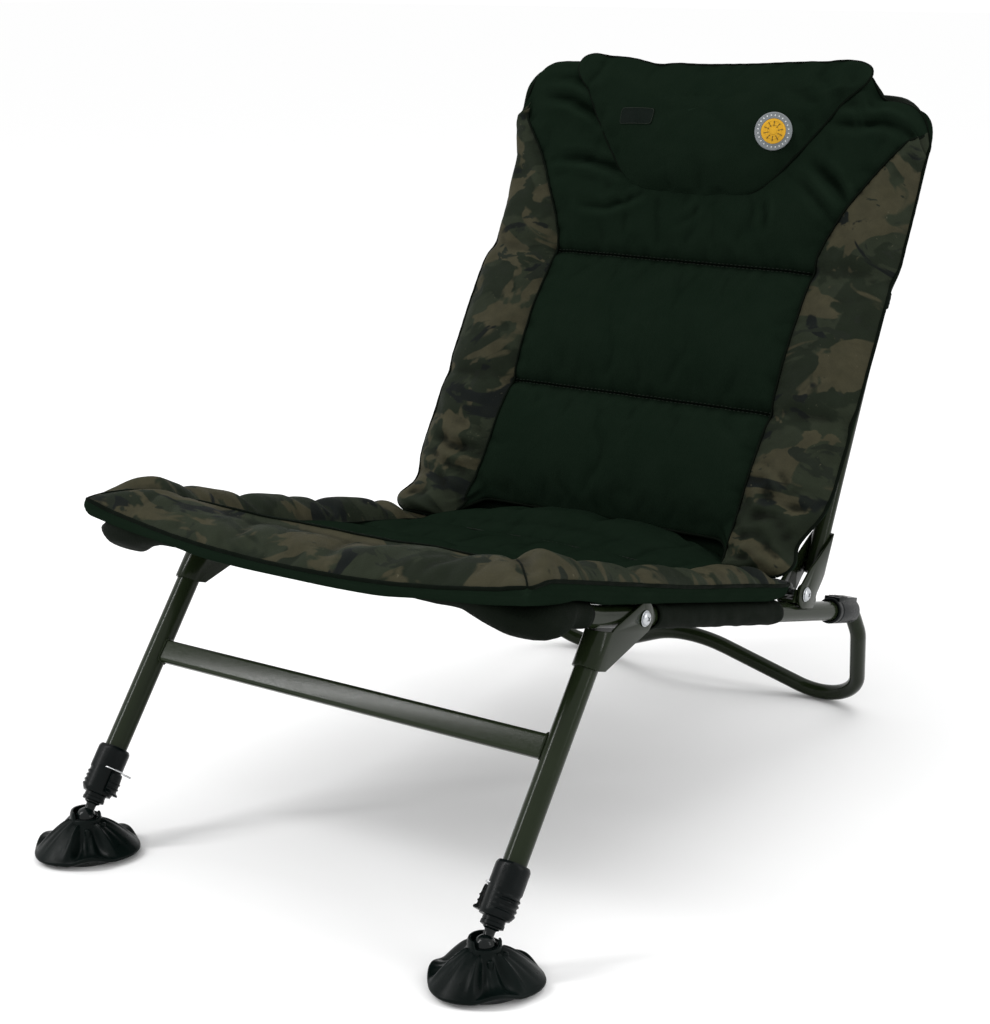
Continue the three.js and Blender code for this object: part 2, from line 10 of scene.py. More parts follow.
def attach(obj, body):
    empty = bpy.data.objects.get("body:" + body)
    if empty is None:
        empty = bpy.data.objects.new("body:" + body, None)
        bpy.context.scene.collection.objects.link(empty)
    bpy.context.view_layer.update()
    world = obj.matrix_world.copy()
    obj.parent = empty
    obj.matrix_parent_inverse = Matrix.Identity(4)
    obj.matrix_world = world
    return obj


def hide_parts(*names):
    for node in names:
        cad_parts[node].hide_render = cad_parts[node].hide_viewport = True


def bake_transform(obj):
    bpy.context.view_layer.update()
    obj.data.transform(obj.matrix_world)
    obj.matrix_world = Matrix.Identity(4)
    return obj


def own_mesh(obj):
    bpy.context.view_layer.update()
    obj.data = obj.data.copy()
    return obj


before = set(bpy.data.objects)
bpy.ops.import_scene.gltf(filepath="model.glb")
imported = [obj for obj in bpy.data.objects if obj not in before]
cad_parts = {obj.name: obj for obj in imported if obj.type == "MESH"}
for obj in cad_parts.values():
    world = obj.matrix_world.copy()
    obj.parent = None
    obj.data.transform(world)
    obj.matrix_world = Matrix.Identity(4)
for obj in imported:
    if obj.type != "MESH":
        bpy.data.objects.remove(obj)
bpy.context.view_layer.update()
scene = bpy.context.scene

# ------------------------------------------------------------------ the frames
SH = -0.40023
HALF = 237.0
LOOP_SIDES = (("left", -1), ("right", 1))


def unit(v):
    v = np.asarray(v, float)
    return v / np.linalg.norm(v)


def deg(v):
    return math.radians(v)


X = np.array([1.0, 0, 0])
RA = np.array([0, math.cos(deg(14.13)), -math.sin(deg(14.13))])
RN = np.array([0, math.sin(deg(14.13)), math.cos(deg(14.13))])
RO = np.array([0, 0.2346 + SH, 0.2659])
LS = np.array([0, math.sin(deg(37.71)), math.cos(deg(37.71))])
LN = np.array([0, math.cos(deg(37.71)), -math.sin(deg(37.71))])
LO = np.array([0, SH, 0.035])
BS = np.array([0, math.sin(deg(26)), math.cos(deg(26))])
BH = np.array([0, -math.cos(deg(26)), math.sin(deg(26))])
BO = np.array([0, 0.6213 + SH, 0.251])


def rail(x, a, n):
    return RO + X * (x / 1000) + RA * (a / 1000) + RN * (n / 1000)


def leg(x, s, n):
    return LO + X * (x / 1000) + LS * (s / 1000) + LN * (n / 1000)


def back(x, s, h):
    return BO + X * (x / 1000) + BS * (s / 1000) + BH * (h / 1000)


# ahead of the kink the rails rise to the front bar
KINK, FRONT_A = -66.0, -182.43
RISE = math.atan2(10, 116)
FA = RA * math.cos(RISE) - RN * math.sin(RISE)
FN = RN * math.cos(RISE) + RA * math.sin(RISE)
FO = RO + (RA - FA) * (KINK / 1000)


def fore(x, a, n):
    return FO + X * (x / 1000) + FA * (a / 1000) + FN * (n / 1000)


def frames3(o, p, q, r, x, y, z):
    """Points of three coordinate arrays in millimetres, in the frame with axes p, q, r."""
    return (o + np.multiply.outer(np.asarray(x, float) / 1000, p) + np.multiply.outer(np.asarray(y, float) / 1000, q)
            + np.multiply.outer(np.asarray(z, float) / 1000, r))


def rails(x, a, n):
    return frames3(RO, X, RA, RN, x, a, n)


def backs(x, s, h):
    return frames3(BO, X, BS, BH, x, s, h)


# ---------------------------------------------------------------------- camera
cam_data = bpy.data.cameras.new("camera")
cam_data.lens = 72.63
cam_data.sensor_width = 36
cam_data.clip_start = 0.01
cam = bpy.data.objects.new("camera", cam_data)
cam.location = (1.1531, -1.7061, 0.8443)
cam.rotation_euler = (deg(90 - 15.048), 0, deg(34.73))
scene.collection.objects.link(cam)
scene.camera = cam
scene.view_settings.view_transform = "Standard"


# ------------------------------------------------------------------- materials
class Mat:
    """A small wrapper that keeps the node code short."""

    def __init__(self, name, color, rough, metal=0.0, spec=0.5):
        self.m = bpy.data.materials.new(name)
        self.m.use_nodes = True
        self.nt = self.m.node_tree
        self.b = self.nt.nodes["Principled BSDF"]
        self.b.inputs["Base Color"].default_value = (*color, 1)
        self.b.inputs["Roughness"].default_value = rough
        self.b.inputs["Metallic"].default_value = metal
        self.b.inputs["Specular IOR Level"].default_value = spec
        self.m.diffuse_color = (*color, 1)

    def node(self, kind, **kw):
        n = self.nt.nodes.new(kind)
        for k, v in kw.items():
            if k.startswith("i_"):
                n.inputs[int(k[2:]) if k[2:].isdigit() else k[2:].replace("_", " ")].default_value = v
            else:
                setattr(n, k, v)
        return n

    def link(self, a, b):
        self.nt.links.new(a, b)

    def coords(self, rest):
        if rest:
            return self.node("ShaderNodeAttribute", attribute_name="rest").outputs["Vector"]
        return self.node("ShaderNodeTexCoord").outputs["Object"]

    def scaled(self, src, scale, shift=(0, 0, 0)):
        n = self.node("ShaderNodeMapping")
        n.inputs["Scale"].default_value = scale
        n.inputs["Location"].default_value = shift
        self.link(src, n.inputs["Vector"])
        return n.outputs["Vector"]

    def noise(self, src, scale, detail=3.0, rough=0.5, distort=0.0):
        n = self.node("ShaderNodeTexNoise")
        n.inputs["Scale"].default_value = scale
        n.inputs["Detail"].default_value = detail
        n.inputs["Roughness"].default_value = rough
        n.inputs["Distortion"].default_value = distort
        self.link(src, n.inputs["Vector"])
        return n.outputs["Fac"]

    def remap(self, src, a, b, lo=0.0, hi=1.0, smooth=False):
        n = self.node("ShaderNodeMapRange")
        if smooth:
            n.interpolation_type = "SMOOTHSTEP"
        n.inputs["From Min"].default_value = a
        n.inputs["From Max"].default_value = b
        n.inputs["To Min"].default_value = lo
        n.inputs["To Max"].default_value = hi
        self.link(src, n.inputs["Value"])
        return n.outputs["Result"]

    def mix(self, fac, a, b):
        n = self.node("ShaderNodeMix", data_type="RGBA")
        if isinstance(fac, float):
            n.inputs[0].default_value = fac
        else:
            self.link(fac, n.inputs[0])
        for k, v in ((6, a), (7, b)):
            if isinstance(v, tuple):
                n.inputs[k].default_value = (*v, 1)
            else:
                self.link(v, n.inputs[k])
        return n.outputs[2]

    def math(self, op, a, b=None):
        n = self.node("ShaderNodeMath", operation=op)
        for k, v in ((0, a), (1, b)):
            if v is None:
                continue
            if isinstance(v, (int, float)):
                n.inputs[k].default_value = v
            else:
                self.link(v, n.inputs[k])
        return n.outputs[0]

    def wave(self, src, axis, scale, distortion=0.0):
        n = self.node("ShaderNodeTexWave", wave_type="BANDS", bands_direction=axis, wave_profile="SIN")
        n.inputs["Scale"].default_value = scale
        n.inputs["Distortion"].default_value = distortion
        n.inputs["Detail"].default_value = 1.0
        self.link(src, n.inputs["Vector"])
        return n.outputs["Fac"]

    def color(self, out):
        self.link(out, self.b.inputs["Base Color"])

    def rough(self, out):
        self.link(out, self.b.inputs["Roughness"])

    def bump(self, height, strength, distance, chain=None):
        n = self.node("ShaderNodeBump")
        n.inputs["Strength"].default_value = strength
        n.inputs["Distance"].default_value = distance
        self.link(height, n.inputs["Height"])
        if chain is not None:
            self.link(chain, n.inputs["Normal"])
        self.link(n.outputs["Normal"], self.b.inputs["Normal"])
        return n.outputs["Normal"]


def paint_material(name, dark, light, rough, coat):
    m = Mat(name, light, rough, 0.0, 0.12)
    c = m.coords(False)
    broad = m.noise(c, 14, 3, 0.55)
    fine = m.noise(c, 420, 2, 0.6)
    tone = m.mix(m.remap(broad, 0.3, 0.7), dark, light)
    worn = m.remap(m.noise(c, 95, 4, 0.65), 0.66, 0.72)
    pale = tuple(min(1.0, v * 1.6 + 0.004) for v in light)
    edge = m.node("ShaderNodeNewGeometry").outputs["Pointiness"]
    edge = m.remap(edge, 0.54, 0.62, 0, 0.7)
    m.color(m.mix(m.math("MAXIMUM", m.math("MULTIPLY", worn, 0.35), edge), tone, pale))
    m.rough(m.remap(fine, 0.2, 0.8, rough - 0.05, rough + 0.09))
    m.b.inputs["Coat Weight"].default_value = coat
    m.b.inputs["Coat Roughness"].default_value = 0.22
    m.bump(m.noise(c, 900, 2, 0.5), 0.12, 0.0003)
    return m.m


def plastic_material(name, color, rough, grain, spec=0.4):
    m = Mat(name, color, rough, 0.0, spec)
    c = m.coords(False)
    m.color(m.mix(m.remap(m.noise(c, 30, 3), 0.3, 0.75), color, tuple(v * 1.5 + 0.002 for v in color)))
    m.rough(m.remap(m.noise(c, 160, 3, 0.6), 0.25, 0.75, rough - 0.06, rough + 0.12))
    m.bump(m.noise(c, 1100, 3, 0.55), grain, 0.0004)
    return m.m


def metal_material(name, color, rough):
    m = Mat(name, color, rough, 1.0)
    c = m.coords(False)
    m.color(m.mix(m.remap(m.noise(c, 220, 3), 0.3, 0.7), tuple(v * 0.8 for v in color), color))
    m.rough(m.remap(m.noise(c, 500, 2), 0.3, 0.7, rough - 0.06, rough + 0.12))
    m.bump(m.noise(c, 1500, 2), 0.08, 0.0002)
    return m.m


def weave_height(m, c, pitch):
    """A plain weave: two sets of threads that pass over each other."""
    k = 0.314 / pitch
    a, b = m.wave(c, "X", k, 0.4), m.wave(c, "Y", k, 0.4)
    over = m.math("MULTIPLY", m.wave(m.scaled(c, (1, 1, 1), (pitch / 2, pitch / 2, 0)), "DIAGONAL", k * 0.82), 0.5)
    return m.math("ADD", m.math("MULTIPLY", a, b), over)


def painted_crease_shading(m, tone, light, crest):
    """Painted shade in the hollows of creases and along seams, and a painted highlight on their crests."""
    p = m.node("ShaderNodeNewGeometry").outputs["Pointiness"]
    # painted shade: concave places go towards a fifth of the light tone
    tone = m.mix(m.remap(p, 0.455, 0.497, 0.8, 0), tone, tuple(0.2 * v for v in light))
    # painted highlight: convex crests go paler, by the share crest
    return m.mix(m.remap(p, 0.504, 0.56, 0, crest), tone, tuple(1.7 * v for v in light))


def cloth_material(name, dark, light, pitch, rough=0.75, spec=0.12, sheen=0.0, tint=(1, 1, 1), rest=True, weave=0.35, crest=0.0):
    m = Mat(name, light, rough, 0.0, spec)
    c = m.coords(rest)
    mottle = m.remap(m.noise(c, 26, 4, 0.6), 0.3, 0.72)
    thread = m.noise(m.scaled(c, (1, 0.12, 1)), 700, 2)
    tone = m.mix(m.math("MULTIPLY", m.math("ADD", mottle, thread), 0.5), dark, light)
    # with crest set: painted shade in the hollows, painted highlights on the crests
    m.color(painted_crease_shading(m, tone, light, crest) if crest else tone)
    m.rough(m.remap(m.noise(c, 60, 3), 0.3, 0.7, rough - 0.08, rough + 0.08))
    if sheen:
        m.b.inputs["Sheen Weight"].default_value = sheen
        m.b.inputs["Sheen Roughness"].default_value = 0.45
        m.b.inputs["Sheen Tint"].default_value = (*tint, 1)
    first = m.bump(m.noise(c, 90, 4, 0.6), 0.25, 0.0022)
    m.bump(weave_height(m, c, pitch), weave, 0.0004, first)
    return m.m


def camo_material(name, tones, pitch):
    """A generic disruptive print: soft-edged patches of brown, olive and black with fine spatter."""
    base, olive, brown, black = tones
    m = Mat(name, olive, 0.7, 0.0, 0.04)
    c = m.coords(True)

    def patch(scale, shift, lo, hi, seed_rough=0.55, distort=1.0):
        n = m.noise(m.scaled(c, scale, shift), 1.0, 3.5, seed_rough, distort)
        return m.remap(n, lo, hi, 0, 1, True)

    a = patch((9.5, 13, 10), (3.1, 7.7, 0), 0.49, 0.53)
    b = patch((11, 15, 11), (11.3, 2.9, 4), 0.52, 0.55)
    d = patch((9, 15, 9), (5.9, 19.1, 9), 0.57, 0.60)
    e = patch((22, 30, 22), (23.7, 13.3, 2), 0.62, 0.65)
    tone = m.mix(a, base, olive)
    tone = m.mix(b, tone, brown)
    tone = m.mix(d, tone, black)
    tone = m.mix(e, tone, tuple(0.5 * (p + q) for p, q in zip(olive, black)))
    spatter = m.math("MULTIPLY", m.remap(m.noise(c, 260, 2, 0.6), 0.7, 0.74), m.remap(m.noise(c, 20, 2), 0.5, 0.6))
    tone = m.mix(m.math("MULTIPLY", spatter, 0.6), tone, tuple(min(1, v * 2.0 + 0.02) for v in brown))
    shade = m.remap(m.noise(c, 55, 4, 0.6), 0.25, 0.8, 0.0, 0.45)
    tone = m.mix(shade, tone, tuple(0.35 * v for v in olive))
    # painted shade in the hollows and painted highlights on the crests, over the print
    m.color(painted_crease_shading(m, tone, olive, 0.15))
    m.rough(m.remap(m.noise(c, 60, 3), 0.3, 0.7, 0.62, 0.8))
    first = m.bump(m.noise(c, 90, 4, 0.6), 0.3, 0.0022)
    m.bump(weave_height(m, c, pitch), 0.3, 0.0004, first)
    return m.m


OLIVE = paint_material("olive_paint", (0.0050, 0.0085, 0.0028), (0.0095, 0.0140, 0.0060), 0.16, 0.0)
BLACK_PAINT = paint_material("black_paint", (0.002, 0.003, 0.003), (0.005, 0.006, 0.006), 0.28, 0.0)
BLACK = plastic_material("black_plastic", (0.0006, 0.0018, 0.0018), 0.28, 0.25, 0.10)
FOOT = plastic_material("foot_plastic", (0.0005, 0.0022, 0.0018), 0.30, 0.3, 0.07)
BALL = plastic_material("ball_plastic", (0.0008, 0.0022, 0.0020), 0.18, 0.05, 0.20)
ZINC = metal_material("zinc_plate", (0.50, 0.52, 0.54), 0.28)
WIRE = metal_material("spring_wire", (0.62, 0.63, 0.64), 0.2)
SLING = cloth_material("sling_cloth", (0.0030, 0.0048, 0.0030), (0.0055, 0.0075, 0.0052), 0.0016, 0.7, 0.02)
# crest=0.4 paints highlights on the crests and shade in the hollows of this cloth
PLAIN = cloth_material("pad_cloth", (0.0040, 0.0082, 0.0048), (0.0060, 0.0109, 0.0068), 0.0012, 0.6, 0.0, crest=0.4)
CAMO = camo_material("pad_print", ((0.0098, 0.0136, 0.0082), (0.0176, 0.0222, 0.0136), (0.0400, 0.0368, 0.0216), (0.0048, 0.0064, 0.0064)), 0.0012)
PIPING = cloth_material("pad_piping", (0.0015, 0.0028, 0.0015), (0.003, 0.0048, 0.003), 0.0010, 0.7, 0.02)
# near-black cloth for a welt that paints the shadow line in the grooves of the sewn channels
SEAM_SHADE = cloth_material("seam_groove_shade", (0.0008, 0.0012, 0.0008), (0.0016, 0.0022, 0.0016), 0.0010, 0.8, 0.0)
THREAD = cloth_material("stitch_thread", (0.004, 0.007, 0.004), (0.009, 0.013, 0.009), 0.0006, 0.6, 0.1)
ELASTIC = cloth_material("elastic_band", (0.003, 0.005, 0.004), (0.006, 0.009, 0.007), 0.0011, 0.7, 0.02)
RUBBER = plastic_material("badge_grey", (0.115, 0.125, 0.130), 0.5, 0.1, 0.15)
PALE = plastic_material("badge_pale", (0.36, 0.37, 0.37), 0.5, 0.1, 0.15)
AMBER = plastic_material("badge_amber", (0.40, 0.215, 0.010), 0.5, 0.1, 0.15)
BRONZE = plastic_material("badge_bronze", (0.085, 0.055, 0.012), 0.5, 0.1, 0.15)


# ---------------------------------------------------------------- mesh helpers
def mesh_object(name, verts, faces, mats, index=None, smooth=True, sharp=None):
    me = bpy.data.meshes.new(name)
    me.from_pydata([tuple(map(float, v)) for v in verts], [], [tuple(map(int, f)) for f in faces])
    for m in mats:
        me.materials.append(m)
    if index is not None:
        me.polygons.foreach_set("material_index", list(map(int, index)))
    me.polygons.foreach_set("use_smooth", [smooth] * len(me.polygons))
    me.update()
    if sharp:
        me.set_sharp_from_angle(angle=deg(sharp))
    o = bpy.data.objects.new(name, me)
    scene.collection.objects.link(o)
    return o


def outward(o):
    bm = bmesh.new()
    bm.from_mesh(o.data)
    bmesh.ops.recalc_face_normals(bm, faces=bm.faces)
    bm.to_mesh(o.data)
    bm.free()
    return o


def merge(name, objs, sharp=None):
    """One object of several islands; materials are kept."""
    verts, faces, index, mats, base = [], [], [], [], 0
    for o in objs:
        me = o.data
        slot = []
        for m in me.materials:
            if m not in mats:
                mats.append(m)
            slot.append(mats.index(m))
        verts += [tuple(v.co) for v in me.vertices]
        faces += [tuple(base + i for i in p.vertices) for p in me.polygons]
        index += [slot[p.material_index] for p in me.polygons]
        base += len(me.vertices)
        bpy.data.objects.remove(o)
    return mesh_object(name, verts, faces, mats, index, True, sharp)


def set_rest(o, values):
    a = o.data.attributes.get("rest") or o.data.attributes.new("rest", "FLOAT_VECTOR", "POINT")
    a.data.foreach_set("vector", np.asarray(values, np.float32).ravel())
    return o


def place(o, body, slot, *nodes):
    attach(o, body)
    if nodes:
        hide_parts(*nodes)
    return o


def fillet(points, radii, step=4.0):
    pts = [np.asarray(p, float) for p in points]
    out = [pts[0]]
    for i in range(1, len(pts) - 1):
        p = pts[i]
        u, v = unit(pts[i - 1] - p), unit(pts[i + 1] - p)
        turn = math.pi - math.acos(max(-1, min(1, float(u @ v))))
        r = radii[i - 1] / 1000
        t = r * math.tan(turn / 2)
        mid = unit(u + v) * r / math.cos(turn / 2) + p
        a, b = p + u * t - mid, p + v * t - mid
        axis = unit(np.cross(a, b))
        count = max(3, math.ceil(math.degrees(turn) / step))
        for k in range(count + 1):
            g = turn * k / count
            out.append(mid + a * math.cos(g) + np.cross(axis, a) * math.sin(g))
    out.append(pts[-1])
    return out


def transport(path, closed=False):
    """Ring frames along a path that don't twist."""
    p = np.asarray(path, float)
    if closed:
        d = np.roll(p, -1, 0) - np.roll(p, 1, 0)
    else:
        d = np.gradient(p, axis=0)
        s = np.linalg.norm(np.diff(p, axis=0), axis=1, keepdims=True)
        u = np.diff(p, axis=0) / np.maximum(s, 1e-12)
        d = np.vstack([u[:1], u[:-1] + u[1:], u[-1:]])
    t = d / np.maximum(np.linalg.norm(d, axis=1, keepdims=True), 1e-12)
    e = np.cross(t[0], X if abs(t[0] @ X) < 0.9 else np.array([0, 0, 1.0]))
    e = unit(e)
    es = []
    for k in range(len(p)):
        e = unit(e - t[k] * (e @ t[k]))
        es.append(e)
    es = np.array(es)
    return p, t, es, np.cross(t, es)


def rings_mesh(rings, loop, caps=(False, False)):
    """Faces between rings of equal length; loop joins the last ring to the first."""
    n = len(rings[0])
    verts = [v for r in rings for v in r]
    faces = []
    m = len(rings)
    for k in range(m if loop else m - 1):
        a, b = k * n, ((k + 1) % m) * n
        for i in range(n):
            j = (i + 1) % n
            faces.append((a + i, a + j, b + j, b + i))
    if caps[0]:
        verts.append(np.mean(rings[0], axis=0))
        c = len(verts) - 1
        faces += [(c, (i + 1) % n, i) for i in range(n)]
    if caps[1]:
        verts.append(np.mean(rings[-1], axis=0))
        c, a = len(verts) - 1, (m - 1) * n
        faces += [(c, a + i, a + (i + 1) % n) for i in range(n)]
    return verts, faces


def tube(name, path, ro, ri, mat, sides=32, wob=None):
    """A round tube with open ends and a real wall, or a round bar when ri is 0."""
    ro, ri = ro / 1000, ri / 1000
    p = [np.asarray(q, float) for q in path]
    a, b = unit(p[1] - p[0]), unit(p[-1] - p[-2])
    c = min(0.0005, ro * 0.3)
    p = [p[0], p[0] + a * c] + p[1:-1] + [p[-1] - b * c, p[-1]]
    q, t, e, f = transport(p)
    ang = np.arange(sides) * 2 * math.pi / sides

    def ring(k, r):
        return [q[k] + (e[k] * math.cos(g) + f[k] * math.sin(g)) * r for g in ang]

    n = len(q)
    rings = []
    for k in range(n):
        r = ro - c if k in (0, n - 1) else ro
        if wob is not None:
            r = r + wob(k / (n - 1))
        rings.append(ring(k, r))
    if ri:
        for k in range(n - 1, -1, -1):
            rings.append(ring(k, ri + (c * 0.6 if k in (0, n - 1) else 0)))
        v, fa = rings_mesh(rings, True)
    else:
        v, fa = rings_mesh(rings, False, (True, True))
    return outward(mesh_object(name, v, fa, [mat], sharp=38))


def lathe(name, profile, base, axis, mat, sides=40, loop=False, ref=X, sharp=34):
    """A turned piece: [radius, height] pairs in millimetres about an axis through base."""
    axis = unit(axis)
    if abs(axis @ ref) > 0.95:
        ref = RA
    e = unit(np.asarray(ref, float) - axis * (np.asarray(ref, float) @ axis))
    f = np.cross(axis, e)
    verts, rows = [], []
    for r, z in profile:
        c = base + axis * (z / 1000)
        if r < 1e-6:
            verts.append(c)
            rows.append([len(verts) - 1] * sides)
        else:
            first = len(verts)
            for i in range(sides):
                g = 2 * math.pi * i / sides
                verts.append(c + (e * math.cos(g) + f * math.sin(g)) * (r / 1000))
            rows.append(list(range(first, first + sides)))
    faces = []
    m = len(rows)
    for k in range(m if loop else m - 1):
        a, b = rows[k], rows[(k + 1) % m]
        for i in range(sides):
            j = (i + 1) % sides
            quad = []
            for w in (a[i], a[j], b[j], b[i]):
                if w not in quad:
                    quad.append(w)
            if len(quad) > 2:
                faces.append(quad)
    return outward(mesh_object(name, verts, faces, [mat], sharp=sharp))


def arc(cx, cy, r, a0, a1, count):
    return [(cx + r * math.cos(deg(a0 + (a1 - a0) * i / count)), cy + r * math.sin(deg(a0 + (a1 - a0) * i / count)))
            for i in range(count + 1)]


def prism(points, lo, hi, put, holes=()):
    """An outline in two coordinates extruded along the third; put(u, v, w) gives the point."""
    bm = bmesh.new()
    edges = []
    for ring in [points, *holes]:
        vs = [bm.verts.new(put(u, v, lo)) for u, v in ring]
        edges += [bm.edges.new((vs[i], vs[(i + 1) % len(vs)])) for i in range(len(vs))]
    got = bmesh.ops.triangle_fill(bm, use_beauty=True, use_dissolve=True, edges=edges)
    faces = [g for g in got["geom"] if isinstance(g, bmesh.types.BMFace)]
    ext = bmesh.ops.extrude_face_region(bm, geom=faces)
    move = Vector(put(0, 0, hi)) - Vector(put(0, 0, lo))
    bmesh.ops.translate(bm, vec=move, verts=[g for g in ext["geom"] if isinstance(g, bmesh.types.BMVert)])
    bmesh.ops.recalc_face_normals(bm, faces=bm.faces)
    me = bpy.data.meshes.new("tmp")
    bm.to_mesh(me)
    bm.free()
    o = bpy.data.objects.new("tmp", me)
    scene.collection.objects.link(o)
    return o


def rod(p, q, r, sides=32):
    d = np.asarray(q) - np.asarray(p)
    return lathe("tmp", [(0, 0), (r, 0), (r, np.linalg.norm(d) * 1000), (0, np.linalg.norm(d) * 1000)], np.asarray(p, float), d, None, sides)


def baked(o):
    dg = bpy.context.evaluated_depsgraph_get()
    dg.update()
    me = bpy.data.meshes.new_from_object(o.evaluated_get(dg))
    o.modifiers.clear()
    old = o.data
    o.data = me
    bpy.data.meshes.remove(old)
    return o


def boolean(a, b, op):
    for o in (a, b):
        while o.data.materials and o.data.materials[0] is None:
            o.data.materials.pop(index=0)
    m = a.modifiers.new("b", "BOOLEAN")
    m.operation, m.object, m.solver = op, b, "EXACT"
    baked(a)
    bpy.data.objects.remove(b)
    return a


def finish(o, name, mat, width=0.4, segments=2, angle=28, sharp=32):
    """Clean up after booleans, and round every sharp edge a little."""
    bm = bmesh.new()
    bm.from_mesh(o.data)
    bmesh.ops.remove_doubles(bm, verts=bm.verts, dist=2e-6)
    bmesh.ops.dissolve_limit(bm, angle_limit=deg(1.0), verts=bm.verts, edges=bm.edges)
    bm.to_mesh(o.data)
    bm.free()
    if width:
        m = o.modifiers.new("bevel", "BEVEL")
        m.width, m.segments, m.limit_method, m.angle_limit = width / 1000, segments, "ANGLE", deg(angle)
        m.use_clamp_overlap = True
        baked(o)
    o.data.materials.clear()
    o.data.materials.append(mat)
    o.data.polygons.foreach_set("use_smooth", [True] * len(o.data.polygons))
    o.data.set_sharp_from_angle(angle=deg(sharp))
    o.name = name
    return o


# ------------------------------------------------------------------ the frame
def z(a, x):
    return rail(x, a, 0)


p = fillet([z(461, -HALF), z(KINK, -HALF), fore(-HALF, FRONT_A, 0), fore(HALF, FRONT_A, 0), z(KINK, HALF), z(461, HALF)], [200, 62, 62, 200])
place(tube("seat_rail_tube", p, 10.5, 9.6, OLIVE), "seat", "olive_paint", "seat_frame")

g0, top = np.array([0, 0.7993 + SH, 0.0088]), np.array([0, 0.7055 + SH, 0.1474])
up = unit(top - g0)


def q(x, s):
    return g0 + up * (s / 1000) + X * (x / 1000)


def corner(k):
    return rail(k * HALF, (705.5 - 234.6) / RA[1], 0)


rear_path = fillet([rail(-HALF, 409, 0), corner(-1), q(-HALF, 128), q(-199.9, -28.5), q(0, 74.4), q(199.9, -28.5), q(HALF, 128),
                    corner(1), rail(HALF, 409, 0)], [34, 80, 60, 107, 60, 80, 34])
low = min(v[2] for v in rear_path) - 0.0088
place(tube("rear_leg_tube", [v - np.array([0, 0, low]) for v in rear_path], 8.8, 7.4, OLIVE), "seat", "olive_paint", "rear_leg")

p = fillet([back(-HALF, -40, 0), back(-HALF, 484, 0), back(HALF, 484, 0), back(HALF, -40, 0)], [48, 48])
place(tube("back_tube", p, 9.5, 8.2, OLIVE), "backrest", "olive_paint", "back_frame")

